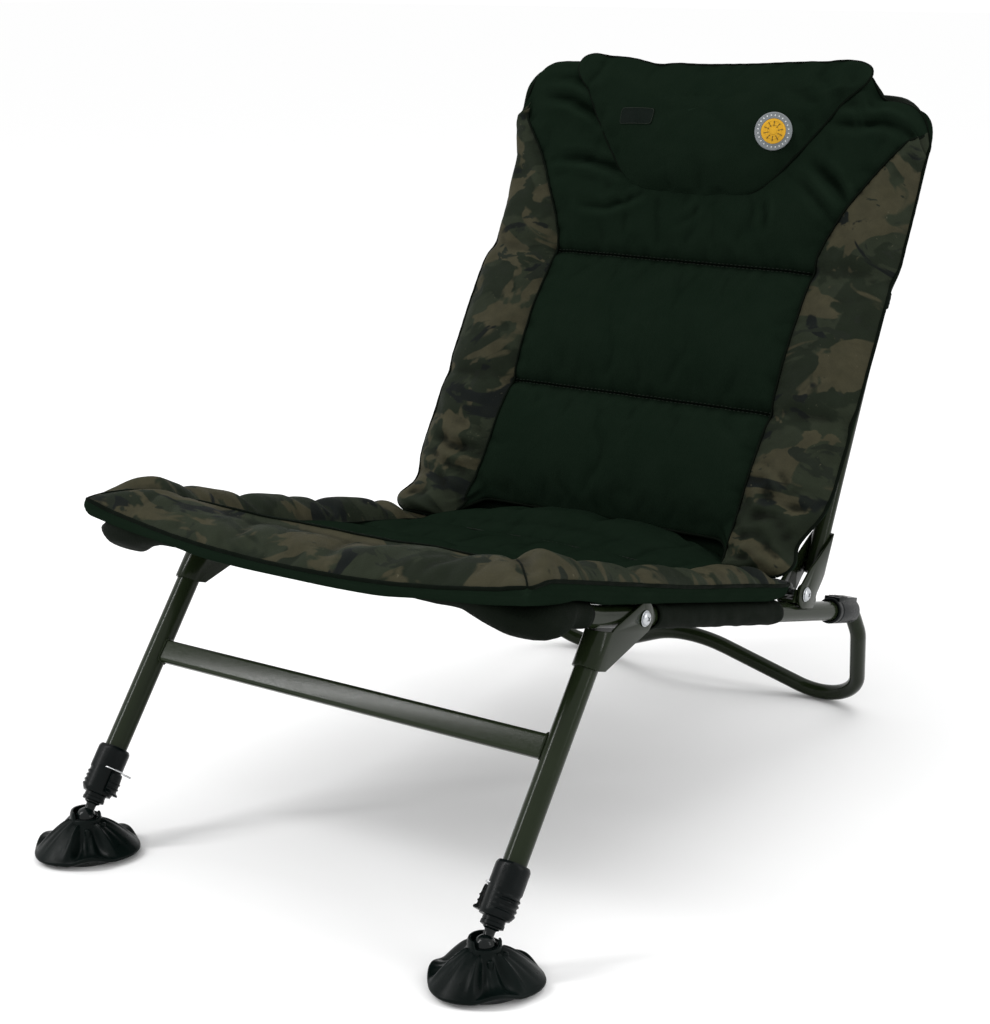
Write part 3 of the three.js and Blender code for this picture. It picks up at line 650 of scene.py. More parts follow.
for side, k in LOOP_SIDES:
    x = k * HALF
    place(tube(f"outer_leg_{side}", [leg(x, 60, 0), leg(x, 288, 0)], 11, 9.4, OLIVE), "front_legs", "olive_paint", f"leg_tube_{side}")
    place(tube(f"sliding_leg_{side}", [leg(x, 17, 0), leg(x, 214, 0)], 8, 6.3, BLACK_PAINT), f"inner_leg_{side}_body", "black_paint", f"inner_leg_{side}")

    # bracket folded round the leg's top
    pv = rail(0, 0, 0) - leg(0, 0, 0)
    pn, ps = float(pv @ LN) * 1000, float(pv @ LS) * 1000
    section = (arc(0, 0, 13.4, 180, 360, 24) + [(13.4, 70), (11.3, 70)] + arc(0, 0, 11.3, 360, 180, 24) + [(-11.3, 70), (-13.4, 70)])
    sleeve = prism(section, 242, 352, lambda u, v, w: leg(x + u, w, v))
    side2 = [(-16, 254), (0, 256), (11, 260)] + arc(pn, ps, 15.5, -28, 130, 26) + [(5, 303), (0.3, 296), (0, 294), (-16, 287)]
    profile = prism(side2, x - 20, x + 20, lambda n, s, w: leg(w, s, n))
    o = boolean(sleeve, profile, "INTERSECT")
    o = boolean(o, rod(rail(x - 20, 0, 0), rail(x + 20, 0, 0), 3.4, 24), "DIFFERENCE")
    place(finish(o, f"leg_top_bracket_{side}", OLIVE), "front_legs", "olive_paint", f"leg_bracket_{side}")

    # channel plate on the back tube's foot, with its stop pin
    pv = rail(0, 334, 20.5) - back(0, 0, 0)
    ps, ph = float(pv @ BS) * 1000, float(pv @ BH) * 1000
    section = (arc(0, 0, 13.1, 180, 360, 24) + [(13.1, 62), (10.9, 62)] + arc(0, 0, 10.9, 360, 180, 24) + [(-10.9, 62), (-13.1, 62)])
    sleeve = prism(section, -100, 30, lambda u, v, w: back(x + u, w, v))
    outline = [(9, -15), (6, -4), (-12, 9.8), (-27, 21), (-39.5, 32.5)] + arc(ps, ph, 15, 70, 200, 20) + [(-77, 6), (-60, 5), (-40, -3), (-31, -15)]
    o = boolean(sleeve, prism(outline, x - 16, x + 16, lambda s, h, w: back(w, s, h)), "INTERSECT")
    o = boolean(o, rod(rail(x - 12, 361, 14.2), rail(x + 12, 361, 14.2), 3, 24), "UNION")
    o = boolean(o, rod(rail(x - 20, 334, 20.5), rail(x + 20, 334, 20.5), 3.4, 24), "DIFFERENCE")
    place(finish(o, f"back_foot_plate_{side}", OLIVE), "backrest", "olive_paint", f"back_pivot_plate_{side}")

    # folded lug on the rail
    lug = [(317, 10.9), (351, 10.9), (346, 24.5)] + arc(334, 20.5, 9.5, 25, 155, 14) + [(322, 24.5)]
    body = prism(lug, x - 9, x + 9, lambda a, n, w: rail(w, a, n))
    fold = prism([(-8.6, 10), (8.6, 10), (8.6, 40), (6.2, 40), (6.2, 13.2), (-6.2, 13.2), (-6.2, 40), (-8.6, 40)], 300, 368,
                 lambda u, n, a: rail(x + u, a, n))
    o = boolean(body, fold, "INTERSECT")
    o = boolean(o, rod(rail(x - 12, 334, 20.5), rail(x + 12, 334, 20.5), 3.4, 24), "DIFFERENCE")
    place(finish(o, f"rail_lug_{side}", OLIVE), "seat", "olive_paint", f"back_lug_{side}")

    # plastic clip over the joint of rail and rear leg
    o = lathe("tmp", [(10.95, 427.6), (11.4, 427), (13.0, 427), (14, 428), (14, 433), (13.5, 433.8), (13.5, 437), (14, 437.8), (14, 478), (13, 479),
                      (11.4, 479), (10.95, 478.4)], rail(x, 0, 0), RA, None, 48, True)
    block = prism([(431, 4), (477, 4), (477, 15.5), (431, 15.5)], x - 9, x + 9, lambda a, n, w: rail(w, a, n))
    block = boolean(block, rod(rail(x, 421, 0), rail(x, 487, 0), 10.95, 48), "DIFFERENCE")
    o = boolean(o, block, "UNION")
    rib = [prism([(a0, 13), (a0 + 2.4, 13), (a0 + 2.4, 16.3), (a0, 16.3)], x - 7.5, x + 7.5, lambda a, n, w: rail(w, a, n)) for a0 in (438, 445, 452)]
    for r in rib:
        o = boolean(o, r, "UNION")
    place(finish(o, f"rail_end_clip_{side}", BLACK, 0.6), "seat", "black_plastic", f"rail_clip_{side}")

    # bolts with a cross recess, and nuts with a nylon ring
    for name, c, half, body in (("front_pivot", rail(x, 0, 0), 13.4, "seat"), ("back_pivot", rail(x, 334, 20.5), 13.1, "seat")):
        out = X * k
        head = c + out * ((half + 0.3) / 1000)
        long = 2 * half + 7.5
        prof = [(0, -long), (2.4, -long), (3, -long + 0.6)]
        zz = -long + 1.2
        while zz < -2 * half + 1.5:
            prof += [(3.0, zz), (2.6, zz + 0.4), (3.0, zz + 0.8)]
            zz += 1.0
        prof += [(3, -2 * half + 2.5), (3, 0), (7.3, 0), (7.6, 0.25), (7.6, 0.8), (7.3, 1.05), (6.7, 1.1), (6.7, 1.7), (6.1, 2.6), (4.9, 3.4), (3.2, 3.95), (1.4, 4.15), (0, 4.2)]
        o = lathe("tmp", prof, head, out, None, 40, False, RA)
        for e in (RA, RN):
            f = np.cross(out, e)
            d1 = unit(e + f)
            d2 = np.cross(out, d1)
            slot = prism([(-2.9, -0.62), (2.9, -0.62), (2.9, 0.62), (-2.9, 0.62)], 2.2, 6.0,
                         lambda u, v, w, d1=d1, d2=d2, head=head, out=out: head + d1 * (u / 1000) + d2 * (v / 1000) + out * (w / 1000))
            o = boolean(o, slot, "DIFFERENCE")
        place(finish(o, f"{name}_screw_{side}", ZINC, 0.12, 1), body, "zinc", f"{name}_bolt_{side}")
        nb = c - out * ((half + 0.3) / 1000)
        e, f = RA, np.cross(out, RA)
        hexa = [(6.35 * math.cos(deg(60 * i)), 6.35 * math.sin(deg(60 * i))) for i in range(6)]
        o = prism(hexa, 0, 3.9, lambda u, v, w, nb=nb, out=out, e=e, f=f: nb + e * (u / 1000) + f * (v / 1000) - out * (w / 1000))
        o = boolean(o, lathe("tmp", [(0, 3.2), (5.3, 3.2), (5.3, 4.6), (4.8, 5.0), (0, 5.0)], nb, -out, None, 36), "UNION")
        o = boolean(o, rod(nb + out * 0.002, nb - out * 0.008, 3.25, 24), "DIFFERENCE")
        place(finish(o, f"{name}_locknut_{side}", ZINC, 0.3, 2), body, "zinc", f"{name}_nut_{side}")

# crossbar, cut to fit the legs, with its weld beads
def rounded(hw, hh, r, count=6):
    out = []
    for cx, cy, a0 in ((hw - r, hh - r, 0), (-hw + r, hh - r, 90), (-hw + r, -hh + r, 180), (hw - r, -hh + r, 270)):
        out += arc(cx, cy, r, a0, a0 + 90, count)
    return out


bar = prism(rounded(5.5, 11.5, 3.6), -HALF, HALF, lambda n, s, w: leg(w, s + 179, n), [rounded(4.1, 10.1, 2.4)])
for side, k in LOOP_SIDES:
    bar = boolean(bar, rod(leg(k * HALF, 139, 0), leg(k * HALF, 219, 0), 11.25, 48), "DIFFERENCE")
bar = finish(bar, "bar", OLIVE, 0)
beads = [bar]
for side, k in LOOP_SIDES:
    loop = []
    for n, s in rounded(5.9, 11.9, 3.8, 9):
        loop.append(leg(k * (HALF - math.sqrt(12.1 ** 2 - n * n)), 179 + s, n))
    pp, t, e, f = transport(loop + loop[:1])
    rings = []
    for i in range(len(loop)):
        r = 0.0011 + 0.0003 * math.sin(i * 2.4)
        rings.append([pp[i] + (e[i] * math.cos(g) + f[i] * math.sin(g)) * r for g in np.arange(8) * math.pi / 4])
    v, fa = rings_mesh(rings, True)
    beads.append(outward(mesh_object("bead", v, fa, [OLIVE])))
place(merge("leg_tie_bar", beads, 34), "front_legs", "olive_paint", "leg_crossbar")


# ------------------------------------------------------- collars, levers, feet
def shell(name, rows, put, mat, loop_rows=True, sharp=34):
    """A closed skin of rings given as lists of points."""
    v, fa = rings_mesh([[put(*c) for c in r] for r in rows], loop_rows, (not loop_rows, not loop_rows))
    return outward(mesh_object(name, v, fa, [mat], sharp=sharp))


def smooth_step(t):
    t = np.clip(t, 0, 1)
    return t * t * (3 - 2 * t)


for side, k in LOOP_SIDES:
    x = k * HALF
    inner = -k

    def put(r, t, s, x=x, inner=inner):
        # t = 0 points to the chair's middle, t = 90 to the rear
        return leg(x + inner * r * math.cos(deg(t)), s, r * math.sin(deg(t)))

    angles = np.arange(0, 360, 5.0)
    outer_rows = []
    stations = [25.0, 25.4, 26.2, 27.4, 28.5, 29.5, 31, 32, 33, 34, 35, 36, 37, 38, 39, 40, 41, 42, 43, 44, 45, 46, 47, 48, 49, 50, 52, 54, 56, 60, 64, 68, 70, 71.2, 72.2, 72.8, 73.0]
    for s in stations:
        row = []
        for t in angles:
            away = abs((t + 180) % 360 - 180)          # from the lever
            r = 15.2
            outside = smooth_step((away - 95) / 25)     # the half with grip ribs
            rib = 0.0
            for c in (30.5, 34.9, 39.3, 43.7):
                rib += 1.25 * math.exp(-((s - c) / 1.15) ** 4)
            r += outside * rib
            r += 0.9 * smooth_step((s - 47.5) / 2.0) * outside
            front = smooth_step((75 - away) / 20)
            r += 0.5 * front * smooth_step((s - 50) / 2)
            if s < 28.5:
                r -= 1.9 * (1 - smooth_step((s - 25) / 3.5)) * (0.4 + 0.6 * outside)
            if s > 69:
                r -= 1.6 * ((s - 69) / 4) ** 2
            row.append((r, t, s))
        outer_rows.append(row)
    top_row = [[(13.4, t, 73.0) for t in angles], [(11.7, t, 72.7) for t in angles], [(11.35, t, 72.0) for t in angles]]
    bore = [[(11.35, t, 58.4) for t in angles], [(11.0, t, 58.0) for t in angles], [(8.4, t, 58.0) for t in angles], [(8.35, t, 40) for t in angles],
            [(8.4, t, 17.3) for t in angles], [(8.9, t, 17.0) for t in angles], [(10.3, t, 17.0) for t in angles], [(10.8, t, 17.5) for t in angles],
            [(10.8, t, 20.4) for t in angles], [(10.3, t, 20.9) for t in angles], [(10.3, t, 24.2) for t in angles], [(10.9, t, 24.7) for t in angles],
            [(12.6, t, 24.9) for t in angles]]
    o = shell(f"leg_lock_{side}", outer_rows + top_row + bore, put, BLACK)
    place(o, f"front_legs", "black_plastic", f"lock_collar_{side}")

    # thumb lever: a curved pad with a turned-out lip and two ribs
    rows = []
    for s, ro in [(27.6, 21.2), (27.9, 21.6), (28.7, 21.7), (29.5, 21.4), (30.2, 20.3), (31, 19.3), (32.5, 18.9), (33.6, 19.0), (34.1, 19.8), (35.2, 19.8), (35.7, 19.0), (37.6, 18.9),
                  (38.6, 19.0), (39.1, 19.8), (40.2, 19.8), (40.7, 19.0), (43, 18.8), (46, 18.6), (48.4, 18.3), (49.2, 17.8), (49.5, 17.3)]:
        lim = 24 if s < 30 else 26.5
        ts = np.linspace(-lim, lim, 13)
        outer = [(ro - 0.5 * abs(t / lim) ** 6, t, s) for t in ts]
        innr = [(16.7, t, s) for t in ts[::-1]]
        rows.append(outer + innr)
    o = shell(f"thumb_lever_{side}", rows, put, BLACK, False, 40)
    place(o, f"lock_lever_{side}_body", "black_plastic", f"lock_lever_{side}")

    # spring wire clip: out of the collar's wall, over the lever's top, and off as a tail
    loop = [put(13.0, -58, 51.2), put(14.6, -53, 51.3), put(16.2, -48, 51.4), put(17.1, -43, 51.4)]
    loop += [put(17.3, t, 51.4) for t in np.arange(-38, 33, 5)]
    loop += [put(17.6, 36, 51.4), put(18.6, 39, 51.4), put(20.4, 42, 51.4), put(22.6, 44.5, 51.3), put(25.2, 46, 51.0)]
    o = tube(f"wire_clip_{side}", loop, 0.9, 0, WIRE, 14)
    place(o, "front_legs", "spring_wire", f"lock_wire_{side}")

    # ball and stem
    c = leg(x, 0, 0)
    prof = [(0, -10)] + [(10 * math.cos(deg(t)), 10 * math.sin(deg(t))) for t in range(-84, 61, 6)]
    prof += [(4.9, 9.2), (4.9, 13.2), (5.3, 14.2), (7.2, 15.3), (7.6, 15.8), (7.6, 16.5), (7.2, 16.8), (5.8, 16.8), (5.8, 39.6), (5.4, 40), (0, 40)]
    place(lathe(f"ball_pin_{side}", prof, c, LS, BALL, 40), f"inner_leg_{side}_body", "black_plastic", f"ball_stem_{side}")

    # socket ring
    prof = [(11.8 * math.cos(deg(t)), 11.8 * math.sin(deg(t))) for t in range(-66, 5, 7)] + [(11.5, 1.5), (11.0, 1.7), (10.6, 1.4)]
    prof += [(10.4 * math.cos(deg(t)), 10.4 * math.sin(deg(t))) for t in range(4, -67, -7)]
    place(lathe(f"ball_ring_{side}", prof, c, (0, 0, 1), BLACK, 40, True), f"foot_ring_{side}_body", "black_plastic", f"socket_ring_{side}")

    # mud foot: a lobed dome with folded ridges, cup and cheeks
    turn = 20

    def cheek(t):
        """The cup's wall: tall behind and to the left of the ball, cut down in front, with one horn."""
        d = abs((t - 190 + 180) % 360 - 180)
        horn = abs((t - 36 + 180) % 360 - 180)
        return 6.4 * (1 - smooth_step((d - 66) / 16)) + 5.4 * math.exp(-(horn / 9) ** 2)

    def dome(t, q):
        """Radius and height of the foot's skin at angle t, at share q from the cup to the rim."""
        w = math.cos(deg(3 * (t - turn)))                 # 1 in the middle of each of the three lobes
        near = abs((t - turn + 60) % 120 - 60)            # 0 mid-lobe, 60 between the lobes
        off = (t - turn + 60) % 120 - 60
        rim = 49.0 + 2.4 * w + 0.5 * math.cos(deg(6 * (t - turn)))
        r = 15.2 + (rim - 15.2) * q
        valley = float(smooth_step((near - 31) / 13))
        end = 8.0 + 5.0 * float(smooth_step((near - 30) / 28))
        start = 32.4 + 0.35 * cheek(t)
        h = end + (start - end) * (1 - q) ** (0.98 + 0.75 * valley)
        swell = math.sin(math.pi * q ** 0.8) if 0 < q < 1 else 0.0
        edge = math.sin(math.pi * min(1.0, q ** 0.55)) ** 0.5 if 0 < q < 1 else 0.0
        h += 2.4 * (1 - valley) * swell - 4.4 * valley * swell
        h += 2.2 * math.exp(-((near - 28) / 3.6) ** 2) * edge
        h += 1.5 * math.exp(-((near - 52) / 4.5) ** 2) * swell
        h -= 0.9 * math.exp(-((off + 7) / 4.0) ** 2) * swell
        return r, h - 35

    rows = []
    base = c
    ang = np.arange(0, 360, 2.5)

    def fput(r, t, h, base=base):
        return base + np.array([r * math.cos(deg(t)), r * math.sin(deg(t)), h]) / 1000

    cup = [[(0.02, t, -12.3) for t in ang]]
    for u in range(-80, 1, 10):
        cup.append([(12.25 * math.cos(deg(u)), t, 12.25 * math.sin(deg(u))) for t in ang])

    cup.append([(12.3, t, 0.6 + cheek(t) * 0.5) for t in ang])
    cup.append([(12.4 - 0.1 * cheek(t), t, 1.4 + cheek(t)) for t in ang])
    cup.append([(13.2 - 0.15 * cheek(t), t, 1.9 + cheek(t)) for t in ang])
    cup.append([(14.4 - 0.1 * cheek(t), t, 1.7 + cheek(t)) for t in ang])
    cup.append([(14.9, t, 0.9 + cheek(t) * 0.7) for t in ang])
    cup.append([(15.0, t, -1.8 + 0.35 * cheek(t)) for t in ang])
    skin = [[(dome(t, qv)[0], t, dome(t, qv)[1]) for t in ang] for qv in np.linspace(0, 1, 28)]
    lip = [[(dome(t, 1)[0] + du, t, dome(t, 1)[1] - dh) for t in ang] for du, dh in ((0.9, 0.5), (1.4, 1.6), (1.3, 2.8), (0.5, 3.8), (-1.0, 4.4))]
    under = [[(41.0, t, -32.0) for t in ang], [(38.6, t, -34.6) for t in ang], [(37.5, t, -35.0) for t in ang], [(36.0, t, -34.9) for t in ang], [(34.5, t, -33.2) for t in ang],
             [(30.0, t, -30.0) for t in ang], [(20.0, t, -25.0) for t in ang], [(12.0, t, -20.0) for t in ang]]
    closing = [[(8.0, t, -15.6) for t in ang], [(0.02, t, -15.6) for t in ang]]
    v, fa = rings_mesh([[fput(*cc) for cc in r] for r in cup + skin + lip + under + closing], False, (True, True))
    foot = outward(mesh_object("foot", v, fa, [FOOT], sharp=50))
    # two pegs beside the cup, and the clip slot between them
    pegs = [foot]
    for t0, hgt in ((-40, 5.4), (14, 7.4)):
        at = fput(19.0, t0, 0)
        b = base + (at - base)
        pegs.append(lathe("peg", [(0, -20), (3.4, -20), (3.0, hgt - 12.0), (2.6, hgt - 10.8), (1.8, hgt - 10.2), (0, hgt - 10.0)], b, (0, 0, 1), FOOT, 20))
    place(merge(f"mud_pad_{side}", pegs, 50), f"mud_foot_{side}_body", "black_plastic", f"mud_foot_{side}")

# ---------------------------------------------------------------- padded parts
def curve(t, pairs):
    """A smooth curve through (t, value) pairs, level with its ends outside them."""
    xs = np.array([p[0] for p in pairs], float)
    ys = np.array([p[1] for p in pairs], float)
    t = np.clip(np.asarray(t, float), xs[0], xs[-1])
    k = np.clip(np.searchsorted(xs, t, side="right") - 1, 0, len(xs) - 2)
    d = np.diff(ys) / np.diff(xs)
    m = np.empty_like(ys)
    m[0], m[-1] = d[0], d[-1]
    for i in range(1, len(ys) - 1):
        m[i] = 0.0 if d[i - 1] * d[i] <= 0 else 2 * d[i - 1] * d[i] / (d[i - 1] + d[i])
    w = xs[k + 1] - xs[k]
    u = (t - xs[k]) / w
    return ((2 * u ** 3 - 3 * u ** 2 + 1) * ys[k] + (u ** 3 - 2 * u ** 2 + u) * w * m[k]
            + (-2 * u ** 3 + 3 * u ** 2) * ys[k + 1] + (u ** 3 - u ** 2) * w * m[k + 1])


def steps(*runs):
    out = [runs[0][0]]
    for a, b, n in runs:
        out += [a + (b - a) * (i + 1) / n for i in range(n)]
    return np.array(out, float)


def bumpy(x, y, size, seed):
    return noise.noise(Vector((x / size, y / size, seed)))


def inflate(o, pin, frames, pressure, grow, cap, slack=None, more=0.0, stiff=12.0, bend=0.4):
    """Cloth under pressure from the stitched shape; seams stay where they are pinned."""
    me = o.data
    n = len(me.vertices)
    start = np.zeros(n * 3)
    me.vertices.foreach_get("co", start)
    g = o.vertex_groups.new(name="pin")
    for i, w in enumerate(pin):
        if w > 0:
            g.add([i], float(w), "REPLACE")
    m = o.modifiers.new("cloth", "CLOTH")
    s = m.settings
    s.quality = 5
    s.mass = 0.25
    s.tension_stiffness = s.compression_stiffness = stiff
    s.shear_stiffness = stiff * 0.4
    s.bending_stiffness = bend
    s.vertex_group_mass = "pin"
    s.pin_stiffness = 1.0
    s.use_pressure = True
    s.uniform_pressure_force = pressure
    s.shrink_min = -grow
    if slack is not None:
        h = o.vertex_groups.new(name="slack")
        for i, w in enumerate(slack):
            if w > 0.01:
                h.add([i], float(w), "REPLACE")
        s.vertex_group_shrink = "slack"
        s.shrink_max = -more
    s.effector_weights.gravity = 0.0
    m.collision_settings.use_collision = False
    m.collision_settings.use_self_collision = False
    m.point_cache.frame_start = 1
    m.point_cache.frame_end = frames
    for f in range(1, frames + 1):
        scene.frame_set(f)
    dg = bpy.context.evaluated_depsgraph_get()
    ev = o.evaluated_get(dg).to_mesh()
    got = np.zeros(n * 3)
    ev.vertices.foreach_get("co", got)
    o.modifiers.clear()
    o.vertex_groups.clear()
    scene.frame_set(1)
    d = (got - start).reshape(-1, 3)
    length = np.linalg.norm(d, axis=1, keepdims=True)
    cap_m = np.asarray(cap, float).reshape(-1, 1) / 1000
    d = np.where(np.isfinite(d), d, 0) * np.where(length > 1e-9, cap_m * np.tanh(length / cap_m) / np.maximum(length, 1e-9), 1)
    me.vertices.foreach_set("co", (start.reshape(-1, 3) + d).ravel())
    me.update()
    return o


def subdivided(o, levels=1):
    m = o.modifiers.new("s", "SUBSURF")
    m.levels = m.render_levels = levels
    baked(o)
    o.data.polygons.foreach_set("use_smooth", [True] * len(o.data.polygons))
    return o


def two_layers(name, top, bot, rest_top, rest_bot, mats, pick):
    """A closed skin of an upper and a lower grid that share their border. Returns the object and the index grids."""
    nv, nu = top.shape[0] - 1, top.shape[1] - 1
    it = np.arange((nv + 1) * (nu + 1)).reshape(nv + 1, nu + 1)
    ib = it.copy()
    count = it.size
    ib[1:-1, 1:-1] = np.arange(count, count + (nv - 1) * (nu - 1)).reshape(nv - 1, nu - 1)
    verts = np.vstack([top.reshape(-1, 3), bot[1:-1, 1:-1].reshape(-1, 3)])
    rest = np.vstack([rest_top.reshape(-1, 3), rest_bot[1:-1, 1:-1].reshape(-1, 3)])
    faces, index = [], []
    for j in range(nv):
        for i in range(nu):
            a, b, c, d = it[j, i], it[j, i + 1], it[j + 1, i + 1], it[j + 1, i]
            m = pick(i, j, True)
            if isinstance(m, tuple):                       # the seam crosses this face from corner to corner
                faces += [(a, b, c), (a, c, d)] if m[0] == "rise" else [(a, b, d), (b, c, d)]
                index += [m[1], m[2]]
            else:
                faces.append((a, b, c, d))
                index.append(m)
    for j in range(nv):
        for i in range(nu):
            faces.append((ib[j, i], ib[j + 1, i], ib[j + 1, i + 1], ib[j, i + 1]))
            index.append(pick(i, j, False))
    o = outward(mesh_object(name, verts, faces, mats, index))
    set_rest(o, rest)
    return o, it, ib


def resample(points, step, closed=False):
    """Points at even steps along a smoothed line, in metres."""
    p = np.asarray(points, float)
    if closed:
        p = np.vstack([p, p[:1]])
    d = np.r_[0, np.cumsum(np.linalg.norm(np.diff(p, axis=0), axis=1))]
    n = max(4, int(d[-1] / step))
    t = np.linspace(0, d[-1], n + 1)
    q = np.stack([np.interp(t, d, p[:, k]) for k in range(3)], 1)
    if closed:
        q = q[:-1]
        for _ in range(2):
            q = (np.roll(q, 1, 0) + 2 * q + np.roll(q, -1, 0)) / 4
    else:
        for _ in range(2):
            q[1:-1] = (q[:-2] + 2 * q[1:-1] + q[2:]) / 4
    return q


def welt(points, r, mat, closed=False, step=0.004, sides=10):
    """A piped edge along a seam."""
    q = resample(points, step, closed)
    p, t, e, f = transport(q, closed)
    rings = [[p[k] + (e[k] * math.cos(g) + f[k] * math.sin(g)) * (r / 1000) * (1 + 0.06 * math.sin(k * 1.7)) for g in np.arange(sides) * 2 * math.pi / sides] for k in range(len(p))]
    v, fa = rings_mesh(rings, closed, (not closed, not closed))
    return outward(mesh_object("welt", v, fa, [mat]))


def stitches(points, normals, r, mat, pitch=0.0052, long=0.0034):
    """Single stitches along a line, lying on the cloth."""
    p = np.asarray(points, float)
    d = np.r_[0, np.cumsum(np.linalg.norm(np.diff(p, axis=0), axis=1))]
    n = int(d[-1] / pitch)
    if n < 2:
        return None
    verts, faces = [], []
    for k in range(n):
        t0 = (k + 0.18) * pitch
        q = [np.array([np.interp(t0 + long * u, d, p[:, c]) for c in range(3)]) for u in (0, 0.2, 0.8, 1)]
        nn = unit(np.array([np.interp(t0, d, normals[:, c]) for c in range(3)]))
        tt = unit(q[3] - q[0])
        ss = np.cross(tt, nn)
        base = len(verts)
        for c, (pt, rr, hh) in enumerate(zip(q, (0.35, 1, 1, 0.35), (-0.2, 0.5, 0.5, -0.2))):
            for g in range(5):
                a = 2 * math.pi * g / 5
                verts.append(pt + (ss * math.cos(a) + nn * math.sin(a)) * r * rr / 1000 + nn * hh * r / 1000)
        for c in range(3):
            for g in range(5):
                a, b = base + c * 5 + g, base + c * 5 + (g + 1) % 5
                faces.append((a, b, b + 5, a + 5))
        faces.append(tuple(base + g for g in range(5))[::-1])
        faces.append(tuple(base + 15 + g for g in range(5)))
    return outward(mesh_object("stitch", verts, faces, [mat]))


def joined(name, main, extras):
    """Adds welts and stitches to a pad, and keeps its rest coordinates."""
    n = len(main.data.vertices)
    rest = np.zeros(n * 3)
    main.data.attributes["rest"].data.foreach_get("vector", rest)
    extra = [np.array([v.co for v in e.data.vertices], float) for e in extras]
    o = merge(name, [main, *extras])
    set_rest(o, np.vstack([rest.reshape(-1, 3), *extra]))
    return o


def verts_of(o):
    a = np.zeros(len(o.data.vertices) * 3)
    o.data.vertices.foreach_get("co", a)
    return a.reshape(-1, 3)


# ---- seat pad
xs = steps((-256, -200, 9), (-200, 200, 62), (200, 256, 9))
as_ = steps((-212, -150, 9), (-150, -10, 21), (-10, 116, 19), (116, 218, 16), (218, 333, 18))
CROSS = (-10.0, 116.0, 218.0)
nu, nv = len(xs) - 1, len(as_) - 1


def seat_edge_front(x):
    return 4 + 24.6 * (abs(x) / 256) ** 2.2


def seat_edge_side(a):
    return float(curve(a, [(-212, 28.6), (-172, 34), (-110, 33), (-56, 32), (33, 29.6), (85, 28.8), (194, 30), (275, 30), (333, 32)]))


def seat_seam_side(a):
    return float(curve(a, [(-150, 42), (-125, 33), (-95, 26), (-40, 20), (100, 19), (218, 25), (300, 33), (333, 37)]))


def seat_centre(a):
    return float(curve(a, [(-150, 29), (-60, 22), (0, 18), (100, 19), (160, 25), (218, 34), (270, 47), (300, 58), (318, 64), (333, 64)]))


def bump(t, p=0.75):
    return math.sin(math.pi * min(1, max(0, t))) ** p


def near_line(x, y, pts):
    """Distance to a line of points, which side of it, and the share along it."""
    best = (1e9, 0.0, 0.0)
    total = len(pts) - 1
    for k, ((x0, y0), (x1, y1)) in enumerate(zip(pts, pts[1:])):
        dx, dy = x1 - x0, y1 - y0
        t = min(1.0, max(0.0, ((x - x0) * dx + (y - y0) * dy) / (dx * dx + dy * dy)))
        ex, ey = x - x0 - t * dx, y - y0 - t * dy
        d = math.hypot(ex, ey)
        if d < best[0]:
            best = (d, math.copysign(1.0, dx * ey - dy * ex), (k + t) / total)
    return best


def crease(x, y, pts, depth, width, lip=0.8):
    """A furrow along a line of points with a raised fold on one side of it, fading to its ends."""
    d, side, t = near_line(x, y, pts)
    fade = math.sin(math.pi * min(0.97, max(0.03, t))) ** 0.6
    ridge = math.exp(-((d - 1.7 * width) / (1.1 * width)) ** 2) if side > 0 else 0.3 * math.exp(-((d - 1.7 * width) / (1.1 * width)) ** 2)
    return fade * depth * (lip * ridge - math.exp(-(d / width) ** 2))


def seat_fold(x, a):
    return crease(x, a, [(-150, 236), (-95, 250), (-30, 262), (40, 262), (110, 250)], 4.0, 13.0, 0.7)


top = np.zeros((nv + 1, nu + 1, 3))
bot = np.zeros_like(top)
for j, a in enumerate(as_):
    w = float(curve(a, [(-212, 256), (240, 256), (296, 250), (314, 218), (333, 208)])) / 256
    pinch = sum(math.exp(-((a - c) / 9) ** 2) for c in CROSS) + 0.45 * math.exp(-((a + 99) / 9) ** 2)
    for i, x in enumerate(xs):
        ax = abs(x)
        tf, ts = (a + 212) / 62, (256 - ax) / 56
        centre = seat_centre(a)
        seam = seat_seam_side(a)
        if ax < 200 and a > -150:
            share = (ax / 200) ** 2.5
            n = centre * (1 - share) + seam * share
            lim = [-150, *CROSS, 333]
            for c0, c1 in zip(lim, lim[1:]):
                if c0 <= a <= c1:
                    n += 4.6 * bump((a - c0) / (c1 - c0), 0.7) * (1 - (ax / 200) ** 6)
            n -= 1.2 * sum(math.exp(-((a - c) / 7) ** 2) for c in CROSS) * (1 - share)
        else:
            share = min(1, ax / 200) ** 2.5
            front_in = 26 * (1 - share) + 42 * share
            t_f, t_s = min(1, tf), min(1, ts)
            fr = seat_edge_front(x) * (1 - t_f) + front_in * t_f + 13 * bump(t_f, 0.6)
            flat_rear = 1 - 0.8 * float(smooth_step((a - 225) / 50))
            sd = seat_edge_side(a) * (1 - t_s) + seam * t_s + 19 * flat_rear * bump(t_s, 0.6) * (1 - 0.42 * min(1, pinch))
            t_m = min(t_f, t_s)
            mitre = 28.6 * (1 - t_m) + 42 * t_m + 6 * bump(t_m)
            if a >= -150:
                n = sd
            elif tf <= ts:
                k = float(smooth_step((ts - tf) / 0.55))
                n = mitre * (1 - k) + fr * k
            else:
                k = float(smooth_step((tf - ts) / 0.55))
                n = mitre * (1 - k) + sd * k
        px_ = x * w * (1 - 0.012 * min(1, pinch) * (ax / 256) ** 6)
        n += 1.2 * bumpy(x, a, 34, 1.5) * min(1, 3 * min(tf, ts) if min(tf, ts) > 0 else 0)
        top[j, i] = (px_, a, n)

seat_cols_x = [256, 255.4, 253.8, 251, 246.5, 240, 232, 222, 211, 200]
seat_rows_a = [-212, -211.6, -209.5, -205, -200.5, -197, -192, -183, -166, -150]


